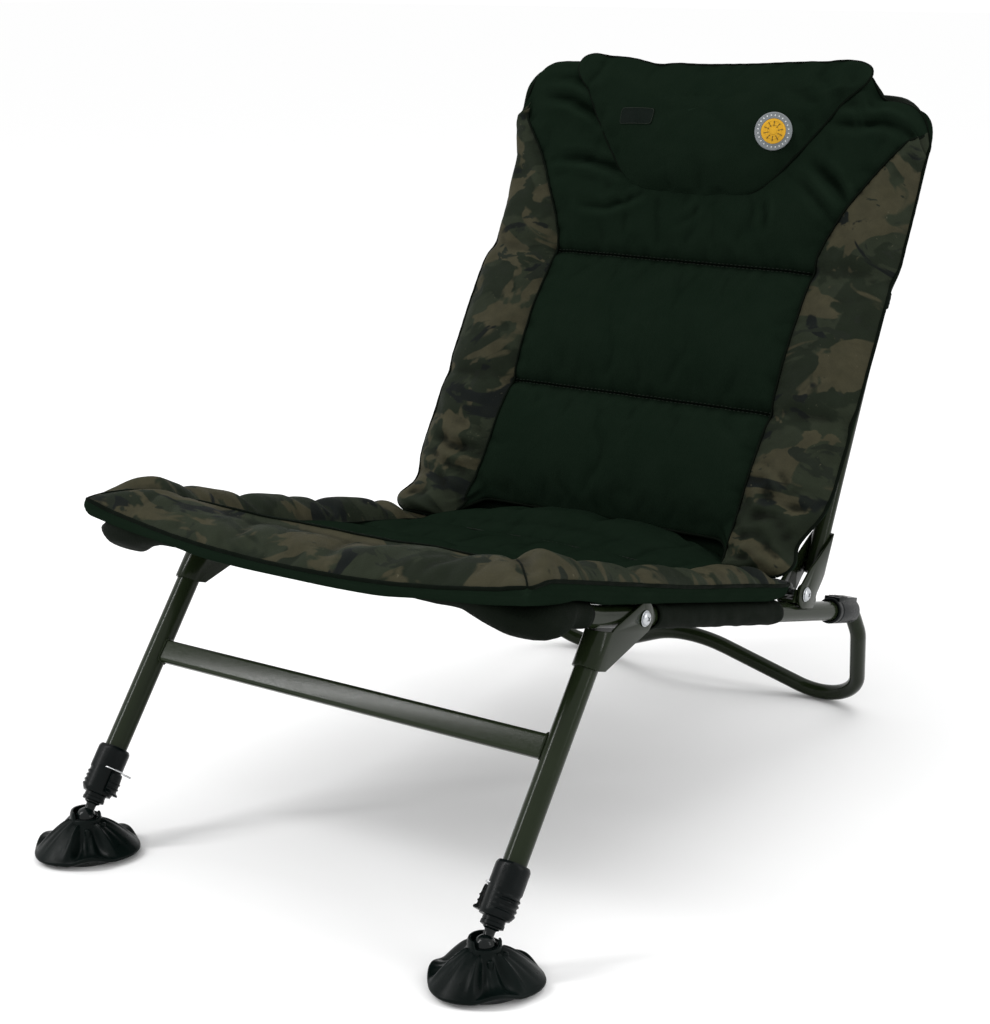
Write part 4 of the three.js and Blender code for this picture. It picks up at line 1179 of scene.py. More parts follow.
def outside_tube(x, a):
    """How far a point of the seat plane lies outside the centre line of the bent tube."""
    du, dv = abs(x) - 175.0, -120.4 - a
    if du > 0 and dv > 0:
        return math.hypot(du, dv) - 62.0
    return abs(x) - 237.0 if du > dv else -182.4 - a


for j, a in enumerate(as_):
    w = float(curve(a, [(-212, 256), (240, 256), (296, 250), (314, 218), (333, 208)])) / 256
    for i, x in enumerate(xs):
        k = min(i, nu - i)
        sgn = -1 if x < 0 else 1
        bx = sgn * seat_cols_x[k] if k < 10 else x
        ba = seat_rows_a[j] if j < 10 else a
        e = top[j, i][2] if k == 0 or j == 0 else (seat_edge_side(a) if 256 - abs(bx) < ba + 212 else seat_edge_front(x))
        rise = max(0.0, KINK - max(ba, -184)) * 0.0862
        hang_n = float(curve(abs(bx), [(0, -6), (36, -6), (87, -5), (105, -4), (138, 0), (169, 3), (210, 7), (240, 11.5), (256, 13.6)]))
        over = float(smooth_step((17.5 - outside_tube(bx, ba)) / 5.5))
        inner = 1.2 * float(smooth_step((-14 - outside_tube(bx, ba)) / 12))
        bare = float(smooth_step((ba + 86) / 8)) * float(smooth_step((30 - ba) / 8))
        n = hang_n + (max(13.2 - 3.0 * bare + rise - inner, hang_n) - hang_n) * over
        d_edge = min(256 - abs(bx), ba + 212)
        n = n + (e - n) * (1 - math.sin(math.pi / 2 * min(1.0, d_edge / 5.5)) ** 0.6)
        back_end = min(1.0, max(0.0, (a - 300) / 33))
        lift = float(curve(a, [(-212, 0), (240, 0), (333, 24)])) * (1 - 0.6 * float(smooth_step((abs(x) - 120) / 60)))
        n += lift + back_end * 8
        bot[j, i] = (bx * w, ba, min(n, top[j, i][2] - 1.0) if 0 < j < nv and 0 < i < nu else n)
# the rear edge is rounded
for r, share in enumerate((0.0, 0.62, 0.9)):
    j = nv - r
    for i in range(nu + 1):
        mid = 46.0
        top[j, i][2] = mid + (top[j, i][2] - mid) * share if 0 < i < nu else top[j, i][2]


def seat_pick(i, j, up):
    if not up:
        return 0
    return 1 if (i < 9 or i >= nu - 9 or j < 9) else 0


rt = np.stack([top[..., 0] / 1000, top[..., 1] / 1000, top[..., 2] / 2500], -1)
rb = np.stack([bot[..., 0] / 1000 + 0.9, bot[..., 1] / 1000 + 0.4, bot[..., 2] / 2500], -1)
seat_obj, it, ib = two_layers("seat_cushion", rails(top[..., 0], top[..., 1], top[..., 2]), rails(bot[..., 0], bot[..., 1], bot[..., 2]), rt, rb, [PLAIN, CAMO], seat_pick)
pin = np.zeros(len(seat_obj.data.vertices))
slack = np.zeros_like(pin)
pin[ib.ravel()] = 1.0
inner = it[1:-1, 1:-1]
pin[inner.ravel()] = 0.0
jc = [int(np.argmin(abs(as_ - c))) for c in CROSS]
pin[it[9, 9:nu - 8]] = 1.0
pin[it[9:, 9]] = pin[it[9:, nu - 9]] = 1.0
for d in range(0, 10):
    pin[it[d, d]] = pin[it[d, nu - d]] = 1.0
for c in jc:
    pin[it[c, 9:nu - 8]] = 1.0
slack[it[:10].ravel()] = 0.5
for c in jc:
    for r in range(-3, 4):
        slack[it[c + r, :9]] = slack[it[c + r, nu - 8:]] = 0.8
cap = np.full(len(pin), 9.0)
cap[it[9:, 9:nu - 8].ravel()] = 7.0
inflate(seat_obj, pin, 22, 3.0, 0.025, cap, slack, 0.07)
P = verts_of(seat_obj)
for j in range(10, nv):
    for i in range(10, nu - 9):
        P[it[j, i]] += RN * (seat_fold(top[j, i][0], top[j, i][1]) / 1000)
seat_obj.data.vertices.foreach_set("co", P.ravel())
seat_grid = it
subdivided(seat_obj)
P = verts_of(seat_obj)
ring = list(it[0, :]) + list(it[1:, -1]) + list(it[-1, -2::-1]) + list(it[-2:0:-1, 0])
extras = [welt(P[ring], 1.9, PIPING, True)]
inner_line = [it[j, 9] for j in range(nv, 8, -1)] + [it[9, i] for i in range(10, nu - 8)] + [it[j, nu - 9] for j in range(10, nv + 1)]
extras.append(welt(P[inner_line] + RN * 0.0004, 1.3, PIPING))
for side_i in (0, nu):
    sgn = 1 if side_i == 0 else -1
    extras.append(welt(P[[it[d, side_i + sgn * d] for d in range(0, 10)]] + RN * 0.0003, 0.9, PIPING))
for c in jc:
    line = P[[it[c, i] for i in range(9, nu - 8)]]
    nn = np.tile(RN, (len(line), 1))
    for off in (-0.0016, 0.0016):
        extras.append(stitches(line + RA * off + RN * 0.0006, nn, 0.45, THREAD))
seat_pad = joined("seat_cushion", seat_obj, [e for e in extras if e])
place(seat_pad, "seat", "pad_cloth", "seat_pad")
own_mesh(seat_pad)

# ---- back pad
PILLOW = [(0, 352), (30, 352.5), (60, 355), (80, 361), (97, 375), (112, 394), (131, 418), (150, 446), (165, 471), (175, 494), (181, 509), (183, 515)]


def sling_h(s):
    return 9.4 + 30.0 * (288 - s) / 302 if s < 288 else 9.4


def back_base(s):
    return float(curve(s, [(-46, 68), (-28, 62), (0, 60.5), (60, 54), (115, 46), (200, 36.5), (280, 26.5), (320, 29), (360, 33), (400, 37), (440, 40), (480, 41), (510, 38)]))


BCROSS = (115.0, 280.0)


def back_front(s):
    v = back_base(s)
    if s < 115:
        v += 6.5 * bump((s + 40) / 155, 0.65)
    elif s < 280:
        v += 8.5 * bump((s - 115) / 165, 0.6)
    else:
        v += 5.5 * bump(min(1, (s - 280) / 150), 0.7) * (1 - float(smooth_step((s - 340) / 60)))
    return v


def wedge(s):
    return float(curve(s, [(-28, 168), (60, 166), (290, 166), (321, 176), (369, 200), (397, 217), (440, 250), (456, 262), (520, 330)]))


def in_pillow(x, s, grow=0.0):
    ax = abs(x)
    low = float(curve(ax, PILLOW)) if ax < 189 else 999
    return s > low + grow and s < 517 - grow


bx = steps((-260, -166, 14), (-166, 166, 52), (166, 260, 14))
bs_ = steps((-31, 40, 13), (40, 115, 12), (115, 280, 25), (280, 510, 35))
nu, nv = len(bx) - 1, len(bs_) - 1
top = np.zeros((nv + 1, nu + 1, 3))
bot = np.zeros_like(top)
S = np.zeros((nv + 1, nu + 1))
XX = np.zeros_like(S)
HANG = np.zeros_like(S)


def back_w(s):
    return float(curve(s, [(-68, 226), (-60, 247), (-46, 255), (-26, 245), (-6, 251), (20, 261), (60, 262), (200, 262), (284, 260), (510, 260)]))


CREASES = [([(-118, 425), (-146, 443.6), (-180, 457.5), (-220, 462.5)], 4.6, 6.0), ([(-78, 373), (-112, 383), (-152, 390), (-196, 389)], 5.0, 6.0),
           ([(-55, 355), (-80, 342), (-106, 333), (-140, 334)], 3.2, 5.0), ([(-150, 470), (-185, 486), (-225, 484)], 2.6, 5.5),
           ([(153, 447), (180, 446), (215, 450), (250, 442)], 4.6, 6.0), ([(144, 402), (168, 385), (196, 352)], 3.2, 6.0),
           ([(96, 353), (100, 339), (103, 322)], 2.6, 4.5), ([(133, 380), (167, 350), (187, 332)], 2.6, 5.5), ([(20, 349), (8, 330), (-10, 318)], 1.8, 4.5)]


for j, s0 in enumerate(bs_):
    for i, x in enumerate(bx):
        ax = abs(x)
        if x > 0:
            s_top = float(curve(ax, [(0, 510), (140, 514), (172, 514), (183, 502), (190, 488), (198, 483), (210, 483), (224, 481), (238, 474), (248, 463), (256, 448), (260, 432)]))
        else:
            s_top = float(curve(ax, [(0, 510), (150, 514), (205, 515), (224, 513), (240, 500), (252, 482), (258, 466), (260, 446)]))
        s = s0 if s0 <= 360 else 360 + (s_top - 360) * (s0 - 360) / 150
        # the two lower corners hang down over the seat, gathered
        hang = float(smooth_step((ax - 158) / 30)) * max(0.0, min(1.0, (42 - s) / 73))
        s -= 35 * hang
        S[j, i] = s
        HANG[j, i] = hang
        XX[j, i] = x * back_w(s) / 260
        if x < 0:                                          # the left shoulder reaches further out
            XX[j, i] -= 15 * float(smooth_step((s - 380) / 70)) * (ax / 260) ** 4
seam_col = np.full((nv + 1, 2), -1)
for j in range(nv + 1):
    for side_i, sgn in ((0, -1), (1, 1)):
        cand = range(0, 29) if sgn < 0 else range(nu - 28, nu + 1)
        best = min(cand, key=lambda i: abs(abs(XX[j, i]) - wedge(S[j, i])))
        if abs(XX[j, best]) > 254 or wedge(S[j, best]) > 256:
            continue
        seam_col[j, side_i] = best
        shift = sgn * wedge(S[j, best]) - XX[j, best]
        XX[j, best] += shift
        for d, wgt in ((1, 0.6), (2, 0.25)):
            for c in (best - d, best + d):
                if 0 < c < nu:
                    XX[j, c] += shift * wgt
for j in range(nv + 1):
    for i in range(nu + 1):
        x, s = XX[j, i], S[j, i]
        ax = abs(x)
        W = back_w(s) + (15 * float(smooth_step((s - 380) / 70)) if x < 0 else 0)
        T = min(wedge(s), W - 2)
        pinch = sum(math.exp(-((s - c) / 10) ** 2) for c in BCROSS) + 0.5 * math.exp(-((s - 20) / 10) ** 2)
        front = back_front(s)
        edge = float(curve(s, [(-46, 63), (-28, 54), (100, 39), (262, 24), (296, 9), (440, 7), (470, 12), (510, 21)]))
        if ax <= T or wedge(s) > 256:
            d = max(0.0, T - ax)
            h = front - 6.5 * math.exp(-d / 13) * (1 if s < 470 else 0.4)
            if s < 450:
                h -= 4.6 * sum(math.exp(-((s - c) / 6.5) ** 2) for c in BCROSS)
            if wedge(s) > 245:
                t = max(0.0, (ax - 205) / 55)
                h = edge + (h - edge) * math.sqrt(max(0, 1 - min(1, t) ** 2.6))
        else:
            t = (ax - T) / max(6, W - T)
            crest = float(curve(s, [(-46, 72), (-28, 66), (60, 60), (130, 55), (208, 47), (280, 37), (330, 38), (400, 37), (455, 34), (510, 30)])) - 5.5 * min(1, pinch)
            h_in = front - 6.5
            if t < 0.4:
                h = h_in + (crest - h_in) * math.sin(math.pi / 2 * t / 0.4)
            else:
                u = (t - 0.4) / 0.6
                h = edge + (crest - edge) * math.sqrt(max(0, 1 - u ** 2.4))
            fold = float(smooth_step((62 - s) / 45)) * (1 - t ** 4) * min(1.0, t * 5)
            h += 3.0 * fold
        h += 1.1 * bumpy(x, s, 36, 4.2) * (1 if not in_pillow(x, s, -4) else 0)
        h += 25 * HANG[j, i] ** 1.5
        edge += 25 * HANG[j, i] ** 1.5
        end = min(j / 4.0, (nv - j) / 4.0)
        if end < 1:
            h = edge + (h - edge) * math.sqrt(max(0, 1 - (1 - end) ** 2))
        if i in (0, nu):
            h = edge
        xx = x * (1 - 0.014 * min(1, pinch) * (ax / 260) ** 8)
        top[j, i] = (xx, s, h)
back_cols_x = [260, 259.4, 257.6, 254.5, 250, 244, 237, 229, 221, 213, 206, 197, 187, 177, 166]
for j in range(nv + 1):
    for i in range(nu + 1):
        s = S[j, i]
        k = min(i, nu - i)
        sgn = -1 if i < nu / 2 else 1
        W = back_w(s) / 260
        x = sgn * back_cols_x[k] * W if k < 15 else bx[i]
        if x < 0:
            x -= 15 * float(smooth_step((s - 380) / 70)) * (abs(x) / 260) ** 4
        edge = float(curve(s, [(-46, 63), (-28, 54), (100, 39), (262, 24), (296, 9), (440, 7), (470, 12), (510, 21)]))
        up_part = float(smooth_step((s - 276) / 18))
        low_h = sling_h(s) + 2.2
        ax = abs(x)
        high_h = 13.6 if ax > 221 else (11.4 + 2.2 * float(smooth_step((ax - 205) / 16)))
        if s > 462:
            high_h = 13.6
        flat = low_h * (1 - up_part) + high_h * up_part
        flat += 25 * HANG[j, i] ** 1.5
        edge += 25 * HANG[j, i] ** 1.5
        col = [0, 0.22, 0.5, 0.78, 0.95][k] if k < 5 else 1
        h = edge + (flat - edge) * col
        r = min(j, nv - j)
        if r < 3:
            h = edge + (h - edge) * (0, 0.55, 0.9)[r]
        bot[j, i] = (x, s, min(h, top[j, i][2] - 1.0) if 0 < j < nv and 0 < i < nu else h)


def back_pick(i, j, up):
    if not up:
        return 0
    x = 0.25 * (abs(XX[j, i]) + abs(XX[j, i + 1]) + abs(XX[j + 1, i]) + abs(XX[j + 1, i + 1]))
    s = 0.25 * (S[j, i] + S[j, i + 1] + S[j + 1, i] + S[j + 1, i + 1])
    side_i = 0 if i < nu / 2 else 1
    c0, c1 = seam_col[j, side_i], seam_col[j + 1, side_i]
    if c0 < 0 or c1 < 0:
        return 1 if x > wedge(s) else 0
    if i < min(c0, c1):
        return 1 - side_i
    if i >= max(c0, c1):
        return side_i
    if abs(c0 - c1) == 1:
        return ("rise", side_i, 1 - side_i) if c1 > c0 else ("fall", 1 - side_i, side_i)
    return 1 if x > wedge(s) else 0


rt = np.stack([top[..., 0] / 1000 + 3.0, top[..., 1] / 1000, top[..., 2] / 2500], -1)
rb = np.stack([bot[..., 0] / 1000 + 4.0, bot[..., 1] / 1000 + 0.5, bot[..., 2] / 2500], -1)
back_obj, it, ib = two_layers("back_cushion", backs(top[..., 0], top[..., 1], top[..., 2]), backs(bot[..., 0], bot[..., 1], bot[..., 2]), rt, rb, [PLAIN, CAMO], back_pick)
pin = np.zeros(len(back_obj.data.vertices))
slack = np.zeros_like(pin)
pin[ib.ravel()] = 1.0
pin[it[1:-1, 1:-1].ravel()] = 0.0
jc = [int(np.argmin(abs(bs_ - c))) for c in BCROSS]
for j in range(nv + 1):
    for side_i in (0, 1):
        if seam_col[j, side_i] >= 0:
            pin[it[j, seam_col[j, side_i]]] = 1.0
    for i in range(nu + 1):
        if in_pillow(XX[j, i], S[j, i], 6):
            pin[it[j, i]] = 1.0
        if S[j, i] < 50 and abs(XX[j, i]) > 170:
            slack[it[j, i]] = min(1.0, (50 - S[j, i]) / 30)
        if S[j, i] > 300 and abs(XX[j, i]) < wedge(S[j, i]) - 5 and not in_pillow(XX[j, i], S[j, i]):
            slack[it[j, i]] = 0.45
for c in jc:
    lo_i, hi_i = seam_col[c, 0], seam_col[c, 1]
    pin[it[c, lo_i:hi_i + 1]] = 1.0
    pin[it[c, 3:lo_i]] = 0.35
    pin[it[c, hi_i + 1:nu - 2]] = 0.35
    for r in range(-4, 5):
        slack[it[c + r, 1:lo_i - 1]] = 0.7
        slack[it[c + r, hi_i + 2:nu]] = 0.7
cap = np.full(len(pin), 8.0)
inflate(back_obj, pin, 22, 3.0, 0.022, cap, slack, 0.075)


def wrinkle(x, s):
    """Creases round the pillow, the sewn channels, and the folds of the two gathered lower corners."""
    ax, out = abs(x), 0.0
    if s > 300 and ax < wedge(s) - 2:
        out += 2.0 * sum(crease(x, s, *c) for c in CREASES)
    if ax < wedge(s) and s < 450:
        out -= 3.0 * sum(math.exp(-((s - c) / 5.0) ** 2) for c in BCROSS)
    W, T = back_w(s), wedge(s)
    if s < 70 and T < ax < W:
        t = (ax - T) / max(6, W - T)
        fold = float(smooth_step((66 - s) / 40)) * min(1.0, (1 - t) * 5) * min(1.0, t * 6)
        run = s * 0.93 + 0.42 * (ax - 200) * (1 if x > 0 else -0.7) + 11 * bumpy(x, s, 34, 2.2)
        out += fold * (9.5 * (2 * abs(math.sin(math.pi * run / 23.0)) ** 0.6 - 1.1) + 5.0 * bumpy(x * 1.3, s * 2.2, 22, 7.7))
    return out


P = verts_of(back_obj)
for j in range(1, nv):
    for i in range(1, nu):
        if not in_pillow(XX[j, i], S[j, i], 4):
            P[it[j, i]] += BH * (wrinkle(XX[j, i], S[j, i]) / 1000)
back_obj.data.vertices.foreach_set("co", P.ravel())
subdivided(back_obj)
P = verts_of(back_obj)
ring = list(it[0, :]) + list(it[1:, -1]) + list(it[-1, -2::-1]) + list(it[-2:0:-1, 0])
extras = [welt(P[ring], 1.9, PIPING, True)]
for side_i in (0, 1):
    line = [it[j, seam_col[j, side_i]] for j in range(nv + 1) if seam_col[j, side_i] >= 0]
    extras.append(welt(P[line] + BH * 0.0006, 1.3, PIPING))
for c in jc:
    line = P[[it[c, i] for i in range(seam_col[c, 0], seam_col[c, 1] + 1)]]
    nn = np.tile(BH, (len(line), 1))
    for off in (-0.0016, 0.0016):
        extras.append(stitches(line + BS * off + BH * 0.0006, nn, 0.45, THREAD))
    # a near-black welt laid in the channel's groove paints its shadow line
    extras.append(welt(line + BH * 0.0004, 0.8, SEAM_SHADE))
back_pad = joined("back_cushion", back_obj, [e for e in extras if e])
place(back_pad, "backrest", "pad_cloth", "back_pad")
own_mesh(back_pad)

# ---- headrest pillow, on rings round a point
half = PILLOW[:-3] + [(177, 482), (188, 494), (192, 505), (189, 513)]
scallops = [(172, 518), (153, 519), (138, 518), (132, 513.5), (124, 516), (100, 514.5), (81, 513.5), (50, 511), (19, 509.5), (-10, 508.5), (-32, 508), (-59, 509), (-74, 506.5),
            (-82, 505), (-92, 508), (-113, 512.5), (-130, 514), (-146, 515), (-152, 513.5), (-163, 518), (-178, 518)]
full = np.vstack([np.array(half, float), np.array(scallops, float), np.array(half[:0:-1], float) * [-1, 1]])
ppath = np.stack([full[:, 0], full[:, 1], np.zeros(len(full))], 1) / 1000
dense = resample(ppath, 0.0066, True) * 1000
N = len(dense)
centre = np.array([0.0, 448.0])
RINGS = 22
rho = 1 - (1 - np.linspace(0, 1, RINGS + 1)) ** 1.25


def pillow_floor(x, s):
    return back_base(min(s, 508)) + 0.9


grid_t = np.zeros((RINGS + 1, N), int)
vlist, rlist = [], []


def add_v(p3, r3):
    vlist.append(p3)
    rlist.append(r3)
    return len(vlist) - 1


c_top = add_v(back(centre[0], centre[1], pillow_floor(*centre) + 22), (5, 0.448, 0))
c_bot = add_v(back(centre[0], centre[1], pillow_floor(*centre)), (6, 0.448, 0))
grid_b = grid_t.copy()
for r in range(1, RINGS + 1):
    for k in range(N):
        x, s = centre + (dense[k] [:2] - centre) * rho[r]
        rr = rho[r]
        flr = pillow_floor(x, s)
        puff = 21.0 * (1 - rr ** 4.0) ** 0.62
        puff *= 1 - 0.35 * float(smooth_step((s - 470) / 45))
        puff += 2.2 * bumpy(x, s * 1.5, 30, 9.1) * (1 - rr ** 6)
        puff -= 1.6 * sum(math.exp(-((x - x0) / 5.0) ** 2) for x0 in (132.0, -82.0, -152.0)) * float(smooth_step((s - 478) / 30)) * (1 - rr ** 8)
        if r == RINGS:
            i = add_v(back(x, s, flr + 1.0), (5 + x / 1000, s / 1000, 0))
            grid_t[r, k] = grid_b[r, k] = i
        else:
            grid_t[r, k] = add_v(back(x, s, flr + max(1.4, puff)), (5 + x / 1000, s / 1000, 0))
            grid_b[r, k] = add_v(back(x, s, flr), (6 + x / 1000, s / 1000, 0))
faces = []
for k in range(N):
    m2 = (k + 1) % N
    faces.append((c_top, grid_t[1, k], grid_t[1, m2]))
    faces.append((c_bot, grid_b[1, m2], grid_b[1, k]))
    for r in range(1, RINGS):
        faces.append((grid_t[r, k], grid_t[r + 1, k], grid_t[r + 1, m2], grid_t[r, m2]))
        faces.append((grid_b[r, k], grid_b[r, m2], grid_b[r + 1, m2], grid_b[r + 1, k]))
pillow = outward(mesh_object("headrest", vlist, faces, [PLAIN]))
set_rest(pillow, rlist)
pin = np.zeros(len(vlist))
pin[grid_b[1:].ravel()] = 1.0
pin[c_bot] = 1.0
slack = np.zeros(len(vlist))
for k in range(N):
    if dense[k][1] > 480:
        slack[grid_t[RINGS - 6:RINGS, k]] = 0.9
    else:
        slack[grid_t[RINGS - 4:RINGS, k]] = 0.5
inflate(pillow, pin, 20, 2.5, 0.02, np.full(len(vlist), 6.0), slack, 0.08)
P = verts_of(pillow)
mid = P[grid_t[6]].mean(axis=0)
swell = -0.5 * float((P[grid_t[7]].mean(axis=0) - mid) @ BH) / (rho[7] / rho[6] - 1)
for r in range(1, 6):
    share = rho[r] / rho[6]
    P[grid_t[r]] = mid + (P[grid_t[6]] - mid) * share + BH * (swell * (1 - share ** 2))
P[c_top] = mid + BH * swell
pillow.data.vertices.foreach_set("co", P.ravel())
subdivided(pillow)
P = verts_of(pillow)
edge_line = P[grid_t[RINGS]]
pillow_all = joined("headrest_cushion", pillow, [welt(edge_line, 1.5, PIPING, True)])
place(pillow_all, "backrest", "pad_cloth", "headrest_pillow")
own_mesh(pillow_all)


# ---- badge and tab, lying on the pillow
from mathutils.bvhtree import BVHTree


def tree_for(o):
    return BVHTree.FromPolygons([v.co for v in o.data.vertices], [tuple(p.vertices) for p in o.data.polygons])


pillow_tree = tree_for(pillow_all)


def drop(x, s, fall=61.0):
    hit = pillow_tree.ray_cast(Vector(back(x, s, 120)), Vector(-BH), 0.2)
    if hit[0] is None:
        return fall
    return float((np.array(hit[0]) - BO) @ BH) * 1000


def on_pillow_plane(x, s, r):
    pts = [(x + r * math.cos(t), s + r * math.sin(t)) for t in np.linspace(0, 2 * math.pi, 12, endpoint=False)] + [(x, s)]
    A = np.array([[p[0] - x, p[1] - s, 1] for p in pts])
    b = np.array([drop(*p) for p in pts])
    sol = np.linalg.lstsq(A, b, rcond=None)[0]
    res = float(np.max(b - A @ sol))
    return sol[0], sol[1], sol[2] + res * 0.6


gx, gs, gh = on_pillow_plane(97, 425, 20)
bc = back(97, 425, gh + 0.2)
bu, bv = unit(X + BH * gx), unit(BS + BH * gs)
bn = unit(np.cross(bu, bv))
if bn @ BH < 0:
    bn = -bn
badge = lathe("badge", [(0, 0), (20.6, 0), (21, 0.3), (21, 1.3), (20.5, 1.8), (19.8, 1.9), (19.0, 1.5), (15.6, 1.5), (15.2, 1.9), (14.4, 1.9), (14.0, 1.3), (0, 1.3)], bc, bn, RUBBER, 72)
disc = lathe("disc", [(0, 1.25), (13.6, 1.25), (13.8, 1.5), (13.4, 1.8), (11.2, 1.8), (10.9, 1.5), (9.0, 1.5), (8.7, 1.9), (6.8, 1.9), (6.5, 1.5), (4.0, 1.5), (3.6, 2.0), (0, 2.1)], bc, bn, AMBER, 72)
parts = [badge, disc]
for kk in range(24):
    g = kk * math.pi / 12
    d1 = bu * math.cos(g) + bv * math.sin(g)
    d2 = np.cross(bn, d1)
    at = bc + d1 * 0.0173
    v = []
    for hh, sc in ((1.4, 1.0), (2.0, 0.8)):
        for a2, b2 in ((-1.0, -0.7), (1.0, -0.7), (1.0, 0.7), (-1.0, 0.7)):
            v.append(at + d1 * (a2 * sc / 1000) + d2 * (b2 * sc / 1000) + bn * (hh / 1000))
    parts.append(outward(mesh_object("stud", v, [(3, 2, 1, 0), (4, 5, 6, 7), (0, 1, 5, 4), (1, 2, 6, 5), (2, 3, 7, 6), (3, 0, 4, 7)], [PALE])))
for kk in range(10):
    g = (kk + 0.5) * math.pi / 5
    d1 = bu * math.cos(g) + bv * math.sin(g)
    d2 = np.cross(bn, d1)
    v = []
    for hh, sc in ((1.2, 1.0), (2.05, 0.8)):
        for a2, b2 in ((-3.2, -0.45), (3.2, -0.45), (3.2, 0.45), (-3.2, 0.45)):
            v.append(bc + d1 * (0.0082 + a2 * sc / 1000) + d2 * (b2 * sc / 1000) + bn * (hh / 1000))
    parts.append(outward(mesh_object("ray", v, [(3, 2, 1, 0), (4, 5, 6, 7), (0, 1, 5, 4), (1, 2, 6, 5), (2, 3, 7, 6), (3, 0, 4, 7)], [BRONZE])))
badge = merge("headrest_badge", parts, 30)
place(badge, "backrest", "badge_rubber", "round_badge")
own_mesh(badge)

tx, ty = np.linspace(-100, -54, 15), np.linspace(423, 443, 8)
tab_t = np.zeros((8, 15, 3))
for j in range(8):
    for i in range(15):
        tab_t[j, i] = (tx[i], ty[j], drop(tx[i], ty[j]) + 1.3)
tab_b = tab_t.copy()
tab_b[..., 2] -= 1.0
rt = np.stack([tab_t[..., 0] / 1000 + 8, tab_t[..., 1] / 1000, tab_t[..., 2] * 0], -1)
tab, it, ib = two_layers("headrest_tab", backs(tab_t[..., 0], tab_t[..., 1], tab_t[..., 2]), backs(tab_b[..., 0], tab_b[..., 1], tab_b[..., 2]), rt, rt, [ELASTIC], lambda i, j, u: 0)
subdivided(tab)
P = verts_of(tab)
ring = list(it[0, :]) + list(it[1:, -1]) + list(it[-1, -2::-1]) + list(it[-2:0:-1, 0])
tab = joined("headrest_tab", tab, [welt(P[ring], 0.5, THREAD, True, 0.002, 6)])
place(tab, "backrest", "label_cloth", "label_tab")
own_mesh(tab)


# ------------------------------------------------ slings, straps, joining strip
def cloth(name, g, thick, mat, shift):
    """A sheet with a real thickness over a grid of points; its rest coordinates follow the threads."""
    n = np.cross(np.gradient(g, axis=1), np.gradient(g, axis=0))
    n = n / np.maximum(np.linalg.norm(n, axis=-1, keepdims=True), 1e-12) * (thick / 2000)
    upper, lower = g + n, g - n
    for e in (np.s_[0], np.s_[-1], np.s_[:, 0], np.s_[:, -1]):
        upper[e] = g[e]
    u = np.r_[0, np.cumsum(np.linalg.norm(np.diff(g[len(g) // 2], axis=0), axis=1))]
    v = np.r_[0, np.cumsum(np.linalg.norm(np.diff(g[:, g.shape[1] // 2], axis=0), axis=1))]
    U, V = np.meshgrid(u, v)
    r = np.stack([U + shift, V, 0 * U], -1)
    o, _, _ = two_layers(name, upper, lower, r, r + [0, 0, 0.002], [mat], lambda i, j, up_side: 0)
    return o


def area_of(g):
    """The area of a grid of points in square metres."""
    d1, d2 = g[1:, 1:] - g[:-1, :-1], g[1:, :-1] - g[:-1, 1:]
    return float(np.linalg.norm(np.cross(d1, d2), axis=-1).sum() / 2)


def gather(name, parts):
    """Several cloth pieces as one, with their rest coordinates."""
    rest = []
    for o in parts:
        a = o.data.attributes.get("rest")
        if a is None:
            rest.append(verts_of(o))
        else:
            r = np.zeros(len(o.data.vertices) * 3)
            a.data.foreach_get("vector", r)
            rest.append(r.reshape(-1, 3))
    return set_rest(merge(name, parts), np.vstack(rest))


def wrap_section(r, top, low, lip=30.0):
    """(inward, up) points round a tube: from the upper lip over, outside and under it to the lower lip."""
    out = [(lip * (1 - k / 6), top + (r - top) * (k / 6) ** 2) for k in range(6)]
    out += [(r * math.cos(deg(t)), r * math.sin(deg(t))) for t in range(90, 311, 10)]
    x0, y0 = out[-1]
    return out + [(x0 + (lip - x0) * k / 7, y0 + (low - y0) * math.sin(math.pi / 2 * k / 7)) for k in range(1, 8)]


def sleeve(path, up, section, shape, sign=1):
    """The grid of a cloth sleeve along a path of points."""
    p, t, _, _ = transport(path)
    rows = []
    for k in range(len(p)):
        inward = unit(np.cross(up, t[k])) * sign
        end = min(k, len(p) - 1 - k)
        row = []
        for u, v in section:
            u, v = shape(p[k], u, v)
            r = math.hypot(u, v)
            if u < 9 and end < 3:                      # the hem is double
                u, v = u * (1 + 0.45 / r), v * (1 + 0.45 / r)
            row.append(p[k] + inward * (u / 1000) + up * (v / 1000))
        rows.append(row)
    return np.array(rows)


def ruck(at, u, v, size, seed):
    """Small creases in a sleeve, outwards from the tube."""
    if u > 12:
        return u, v
    r = math.hypot(u, v)
    w = noise.noise(Vector(tuple(at * 1000 / size)) + Vector((u / 9, v / 9, seed)))
    w = 1 + 0.75 * w / r
    return u * w, v * w


def plain_shape(at, u, v):
    return ruck(at, u, v, 16, 1.3)


def front_shape(at, u, v):
    """The front sleeve is cut square, so that it stands off the tube's round corners in a loose pouch."""
    x, a = float((at - FO) @ X) * 1000, float((at - FO) @ FA) * 1000
    du, dv = abs(x) - 175.0, -120.43 - a
    u, v = ruck(at, u, v, 16, 4.7)
    if du <= 0 or dv <= 0:
        return u, v
    turn = math.atan2(dv, du)
    bulge = max(0.0, math.sin(math.pi * (turn / (math.pi / 2)) ** 0.8)) ** 1.2
    side = max(0.0, -u / 12.1)
    far = 23 * bulge
    if x < 0:
        far += 8 * math.exp(-((math.degrees(turn) - 52) / 15) ** 2) * math.exp(-((v - 5) / 4.5) ** 2)
    out = far * side ** 0.7 * (1.0 if v <= 0 else 1 - 0.2 * v / 12)
    out += 1.5 * bulge * side * math.sin(math.degrees(turn) / 5.0 + v * 0.35)
    base = 11.0 if x > 0 else 8.0
    drop = bulge * (base * side ** 0.8 if v > 0 else max(base * side ** 0.8, base * min(1.0, -v / 4)) + 4.0 * min(1.0, -v / 8))
    return u - out, v - drop


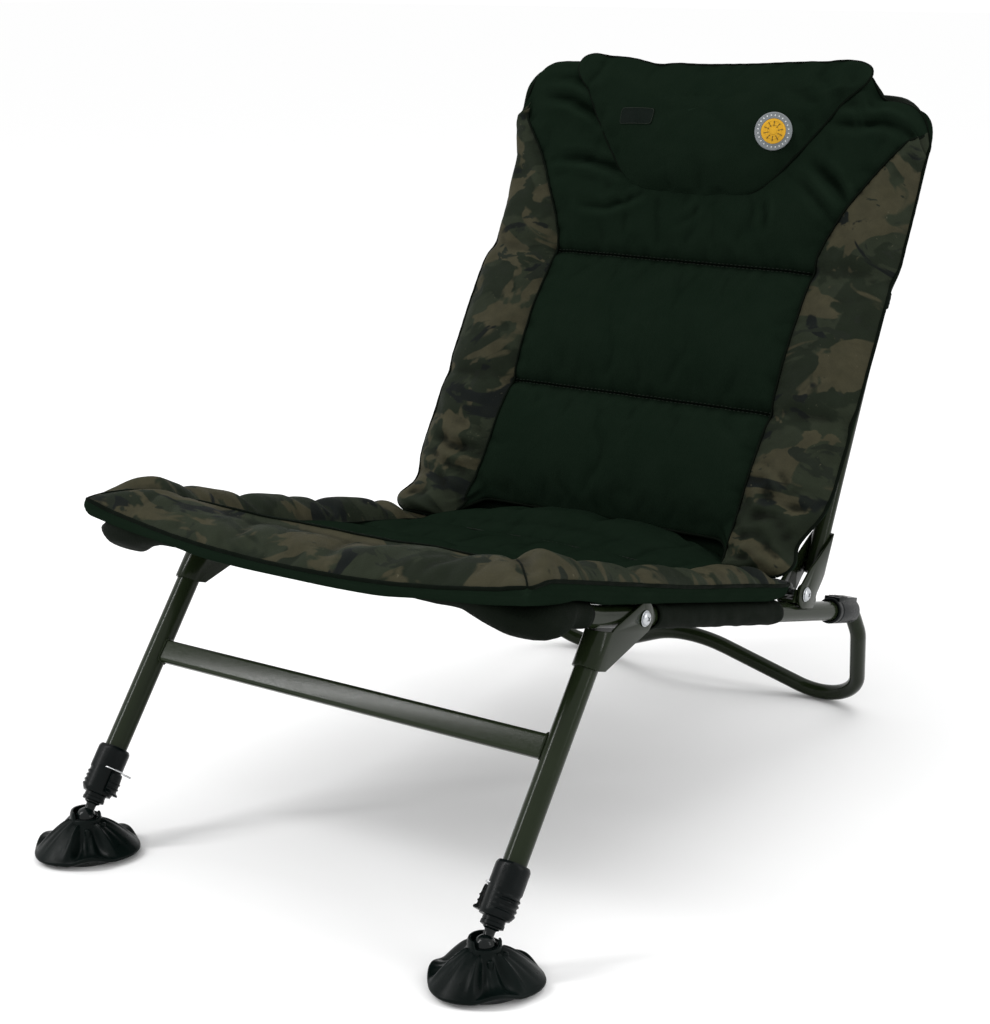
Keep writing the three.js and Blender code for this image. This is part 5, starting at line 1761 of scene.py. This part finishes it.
def back_shape(at, u, v):
    x, s_ = float((at - BO) @ X) * 1000, float((at - BO) @ BS) * 1000
    u, v = ruck(at, u, v, 18, 8.1)
    du, dv = abs(x) - 189.0, s_ - 436.0
    if du > 0 and dv > 0:
        u -= 4.0 * max(0.0, math.sin(2 * math.atan2(dv, du))) * max(0.0, -u / 10.9) ** 0.7
    return u, v


# ---- seat sling: a flat panel, a sleeve round the front bar and one on each rail
def panel(rows, across=45):
    return np.array([[put(w * t, b, dip * (1 - t * t)) for t in np.linspace(-1, 1, across)] for put, w, b, dip in rows])


rows = []
for b in np.arange(289.0, 27.9, -5.8):
    rows.append((lambda x, b, d: rail(x, b, 10.2 - d + 0.35 * bumpy(x, b, 40, 3.1)), 222.0, b, 1.1))
for b in np.arange(27.0, -66.1, -5.8):
    rows.append((lambda x, b, d: rail(x, b, 10.2 - d + 0.35 * bumpy(x, b, 40, 3.1)), 212.0, b, 0.9))
for b in np.arange(-70.0, -168.5, -4.9):
    w = 222.0 if b < -77 else 212.0
    if b < -120.43:
        w = 175 + math.sqrt(max(0.0, 48.0 ** 2 - (-120.43 - b) ** 2))
    rows.append((lambda x, b, d: fore(x, b, 10.2 - d + 0.35 * bumpy(x, b, 40, 3.1)), w, b, 0.7))
rail_wrap = wrap_section(12.1, 11.1, 9.0)
grids = [panel(rows)]
path = fillet([fore(-HALF, -88, 0), fore(-HALF, FRONT_A, 0), fore(HALF, FRONT_A, 0), fore(HALF, -88, 0)], [62, 62])
grids.append(sleeve(resample(path, 0.006), FN, rail_wrap, front_shape))
grids.append(sleeve([rail(-HALF, b, 0) for b in np.linspace(290, 28, 46)], RN, rail_wrap, plain_shape))
grids.append(sleeve([rail(HALF, b, 0) for b in np.linspace(28, 290, 46)], RN, rail_wrap, plain_shape))
parts = [cloth("part", g, 1.3, SLING, 10 + 2 * k) for k, g in enumerate(grids)]
for g in grids[1:]:
    for col in (2, -3):
        line = g[2:-2, col]
        nn = np.tile(RN * (1 if col > 0 else -1), (len(line), 1))
        parts.append(stitches(line + nn * 0.0008, nn, 0.4, THREAD))
seat_sling = gather("seat_sling", parts)
place(seat_sling, "seat", "sling_cloth", "seat_deck")
round(sum(area_of(g) for g in grids), 4)

# ---- back sling: it leaves the tubes below the bend and runs forward to the seat
rows = []
for b in np.arange(470.0, 287.9, -5.2):
    w = 223.0 if b <= 436 else 189 + math.sqrt(max(0.0, 34.0 ** 2 - (b - 436) ** 2))
    rows.append((lambda x, b, d: back(x, b, 9.4 - d + 0.3 * bumpy(x, b, 40, 6.1)), w, b, 0.9))
for b in np.arange(286.0, -14.1, -6.0):
    rows.append((lambda x, b, d: back(x, b, sling_h(b) - d + 0.5 * bumpy(x, b, 46, 6.1)), 204.0, b, 2.0))
path = fillet([back(-HALF, 284, 0), back(-HALF, 484, 0), back(HALF, 484, 0), back(HALF, 284, 0)], [48, 48])
grids = [panel(rows), sleeve(resample(path, 0.006), BH, wrap_section(10.9, 10.2, 8.5), back_shape, -1)]
parts = [cloth("part", g, 1.3, SLING, 20 + 2 * k) for k, g in enumerate(grids)]
for col in (2, -3):
    line = grids[1][2:-2, col]
    nn = np.tile(BH * (1 if col > 0 else -1), (len(line), 1))
    parts.append(stitches(line + nn * 0.0008, nn, 0.4, THREAD))
parts.append(welt([back(x, 287, 9.0) for x in np.linspace(-204, 204, 60)], 1.6, SLING))
parts.append(welt([back(x, -14, 39.3) for x in np.linspace(-204, 204, 60)], 1.3, SLING))
back_sling = gather("back_sling", parts)
place(back_sling, "backrest", "sling_cloth", "back_deck")
round(sum(area_of(g) for g in grids), 4)

# ---- elastic loops that hold the back pad to the tubes
for side, k in LOOP_SIDES:
    base = back(k * HALF, 0, 0)
    prof = [(9.8, 256.6), (10.3, 256.2), (11.2, 256.5), (11.8, 257.4), (11.6, 259.5), (12.0, 262), (11.7, 265), (12.0, 268), (11.6, 270.5), (11.8, 272.6), (11.2, 273.5),
            (10.3, 273.8), (9.8, 273.4), (9.8, 265)]
    o = lathe("strap", prof, base, BS, ELASTIC, 48, True)
    co = verts_of(o)
    d = co - base
    d = d - np.outer(d @ BS, BS)
    r = np.linalg.norm(d, axis=1, keepdims=True)
    face = np.clip((d / r) @ (X * k) - 0.8, 0, 1).reshape(-1, 1) * 5
    co = co + d / r * (0.0017 * np.clip(face, 0, 1) * (r > 0.0108))
    o.data.vertices.foreach_set("co", co.ravel())
    ang = np.arctan2(d @ BH, d @ X)
    set_rest(o, np.stack([ang * 0.0115 + 30, (verts_of(o) - base) @ BS, 0 * ang], 1))
    o.name = f"pad_loop_{side}"
    place(o, "backrest", "sling_cloth", f"pad_strap_{side}")

# ---- the strip that joins the two pads behind the crease
knots = [(-28.5, 48.4), (-32.5, 45.6), (-37.5, 42.4), (-44, 38.6), (-50, 36.6), (-56, 35.4), (-61, 34.4), (-66, 33.6)]
g = np.array([[back(x * (1 - 0.0006 * (b + 28)), b, h + 0.8 * bumpy(x, b, 28, 5.5)) for x in np.linspace(-200, 200, 70)] for b, h in knots])
strip = cloth("pad_joining_strip", g, 1.4, PLAIN, 40)
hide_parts("pad_hinge_strip")
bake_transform(strip)
round(area_of(g), 4)


# ------------------------------------------------------------- floor and light
me = bpy.data.meshes.new("floor")
me.from_pydata([(-30, -30, 0), (30, -30, 0), (30, 30, 0), (-30, 30, 0)], [], [(0, 1, 2, 3)])
floor = bpy.data.objects.new("floor", me)
floor.location = (0, 0, -0.0002)
scene.collection.objects.link(floor)
fm = Mat("floor_paper", (0.9, 0.9, 0.9), 0.9, 0.0, 0.0)
fm.color(fm.mix(fm.noise(fm.coords(False), 8, 2), (0.895, 0.895, 0.895), (0.905, 0.905, 0.905)))
me.materials.append(fm.m)

world = bpy.data.worlds.new("studio")
world.use_nodes = True
world.node_tree.nodes["Background"].inputs[0].default_value = (1, 1, 1, 1)
world.node_tree.nodes["Background"].inputs[1].default_value = 1.1
scene.world = world


def area(name, at, to, size, power, color=(1, 1, 1)):
    d = bpy.data.lights.new(name, "AREA")
    d.shape = "RECTANGLE"
    d.size, d.size_y = size
    d.energy = power
    d.color = color
    o = bpy.data.objects.new(name, d)
    o.location = at
    o.rotation_euler = (Vector(to) - Vector(at)).to_track_quat("-Z", "Y").to_euler()
    scene.collection.objects.link(o)
    return o


area("key", (-1.9, -1.9, 2.6), (0, 0, 0.25), (0.14, 2.0), 52)
area("top", (0.4, 0.9, 3.2), (0.1, 0.1, 0), (2.2, 2.2), 16)
area("rim", (2.7, 0.2, 1.5), (0.1, 0, 0.3), (0.12, 1.8), 16)
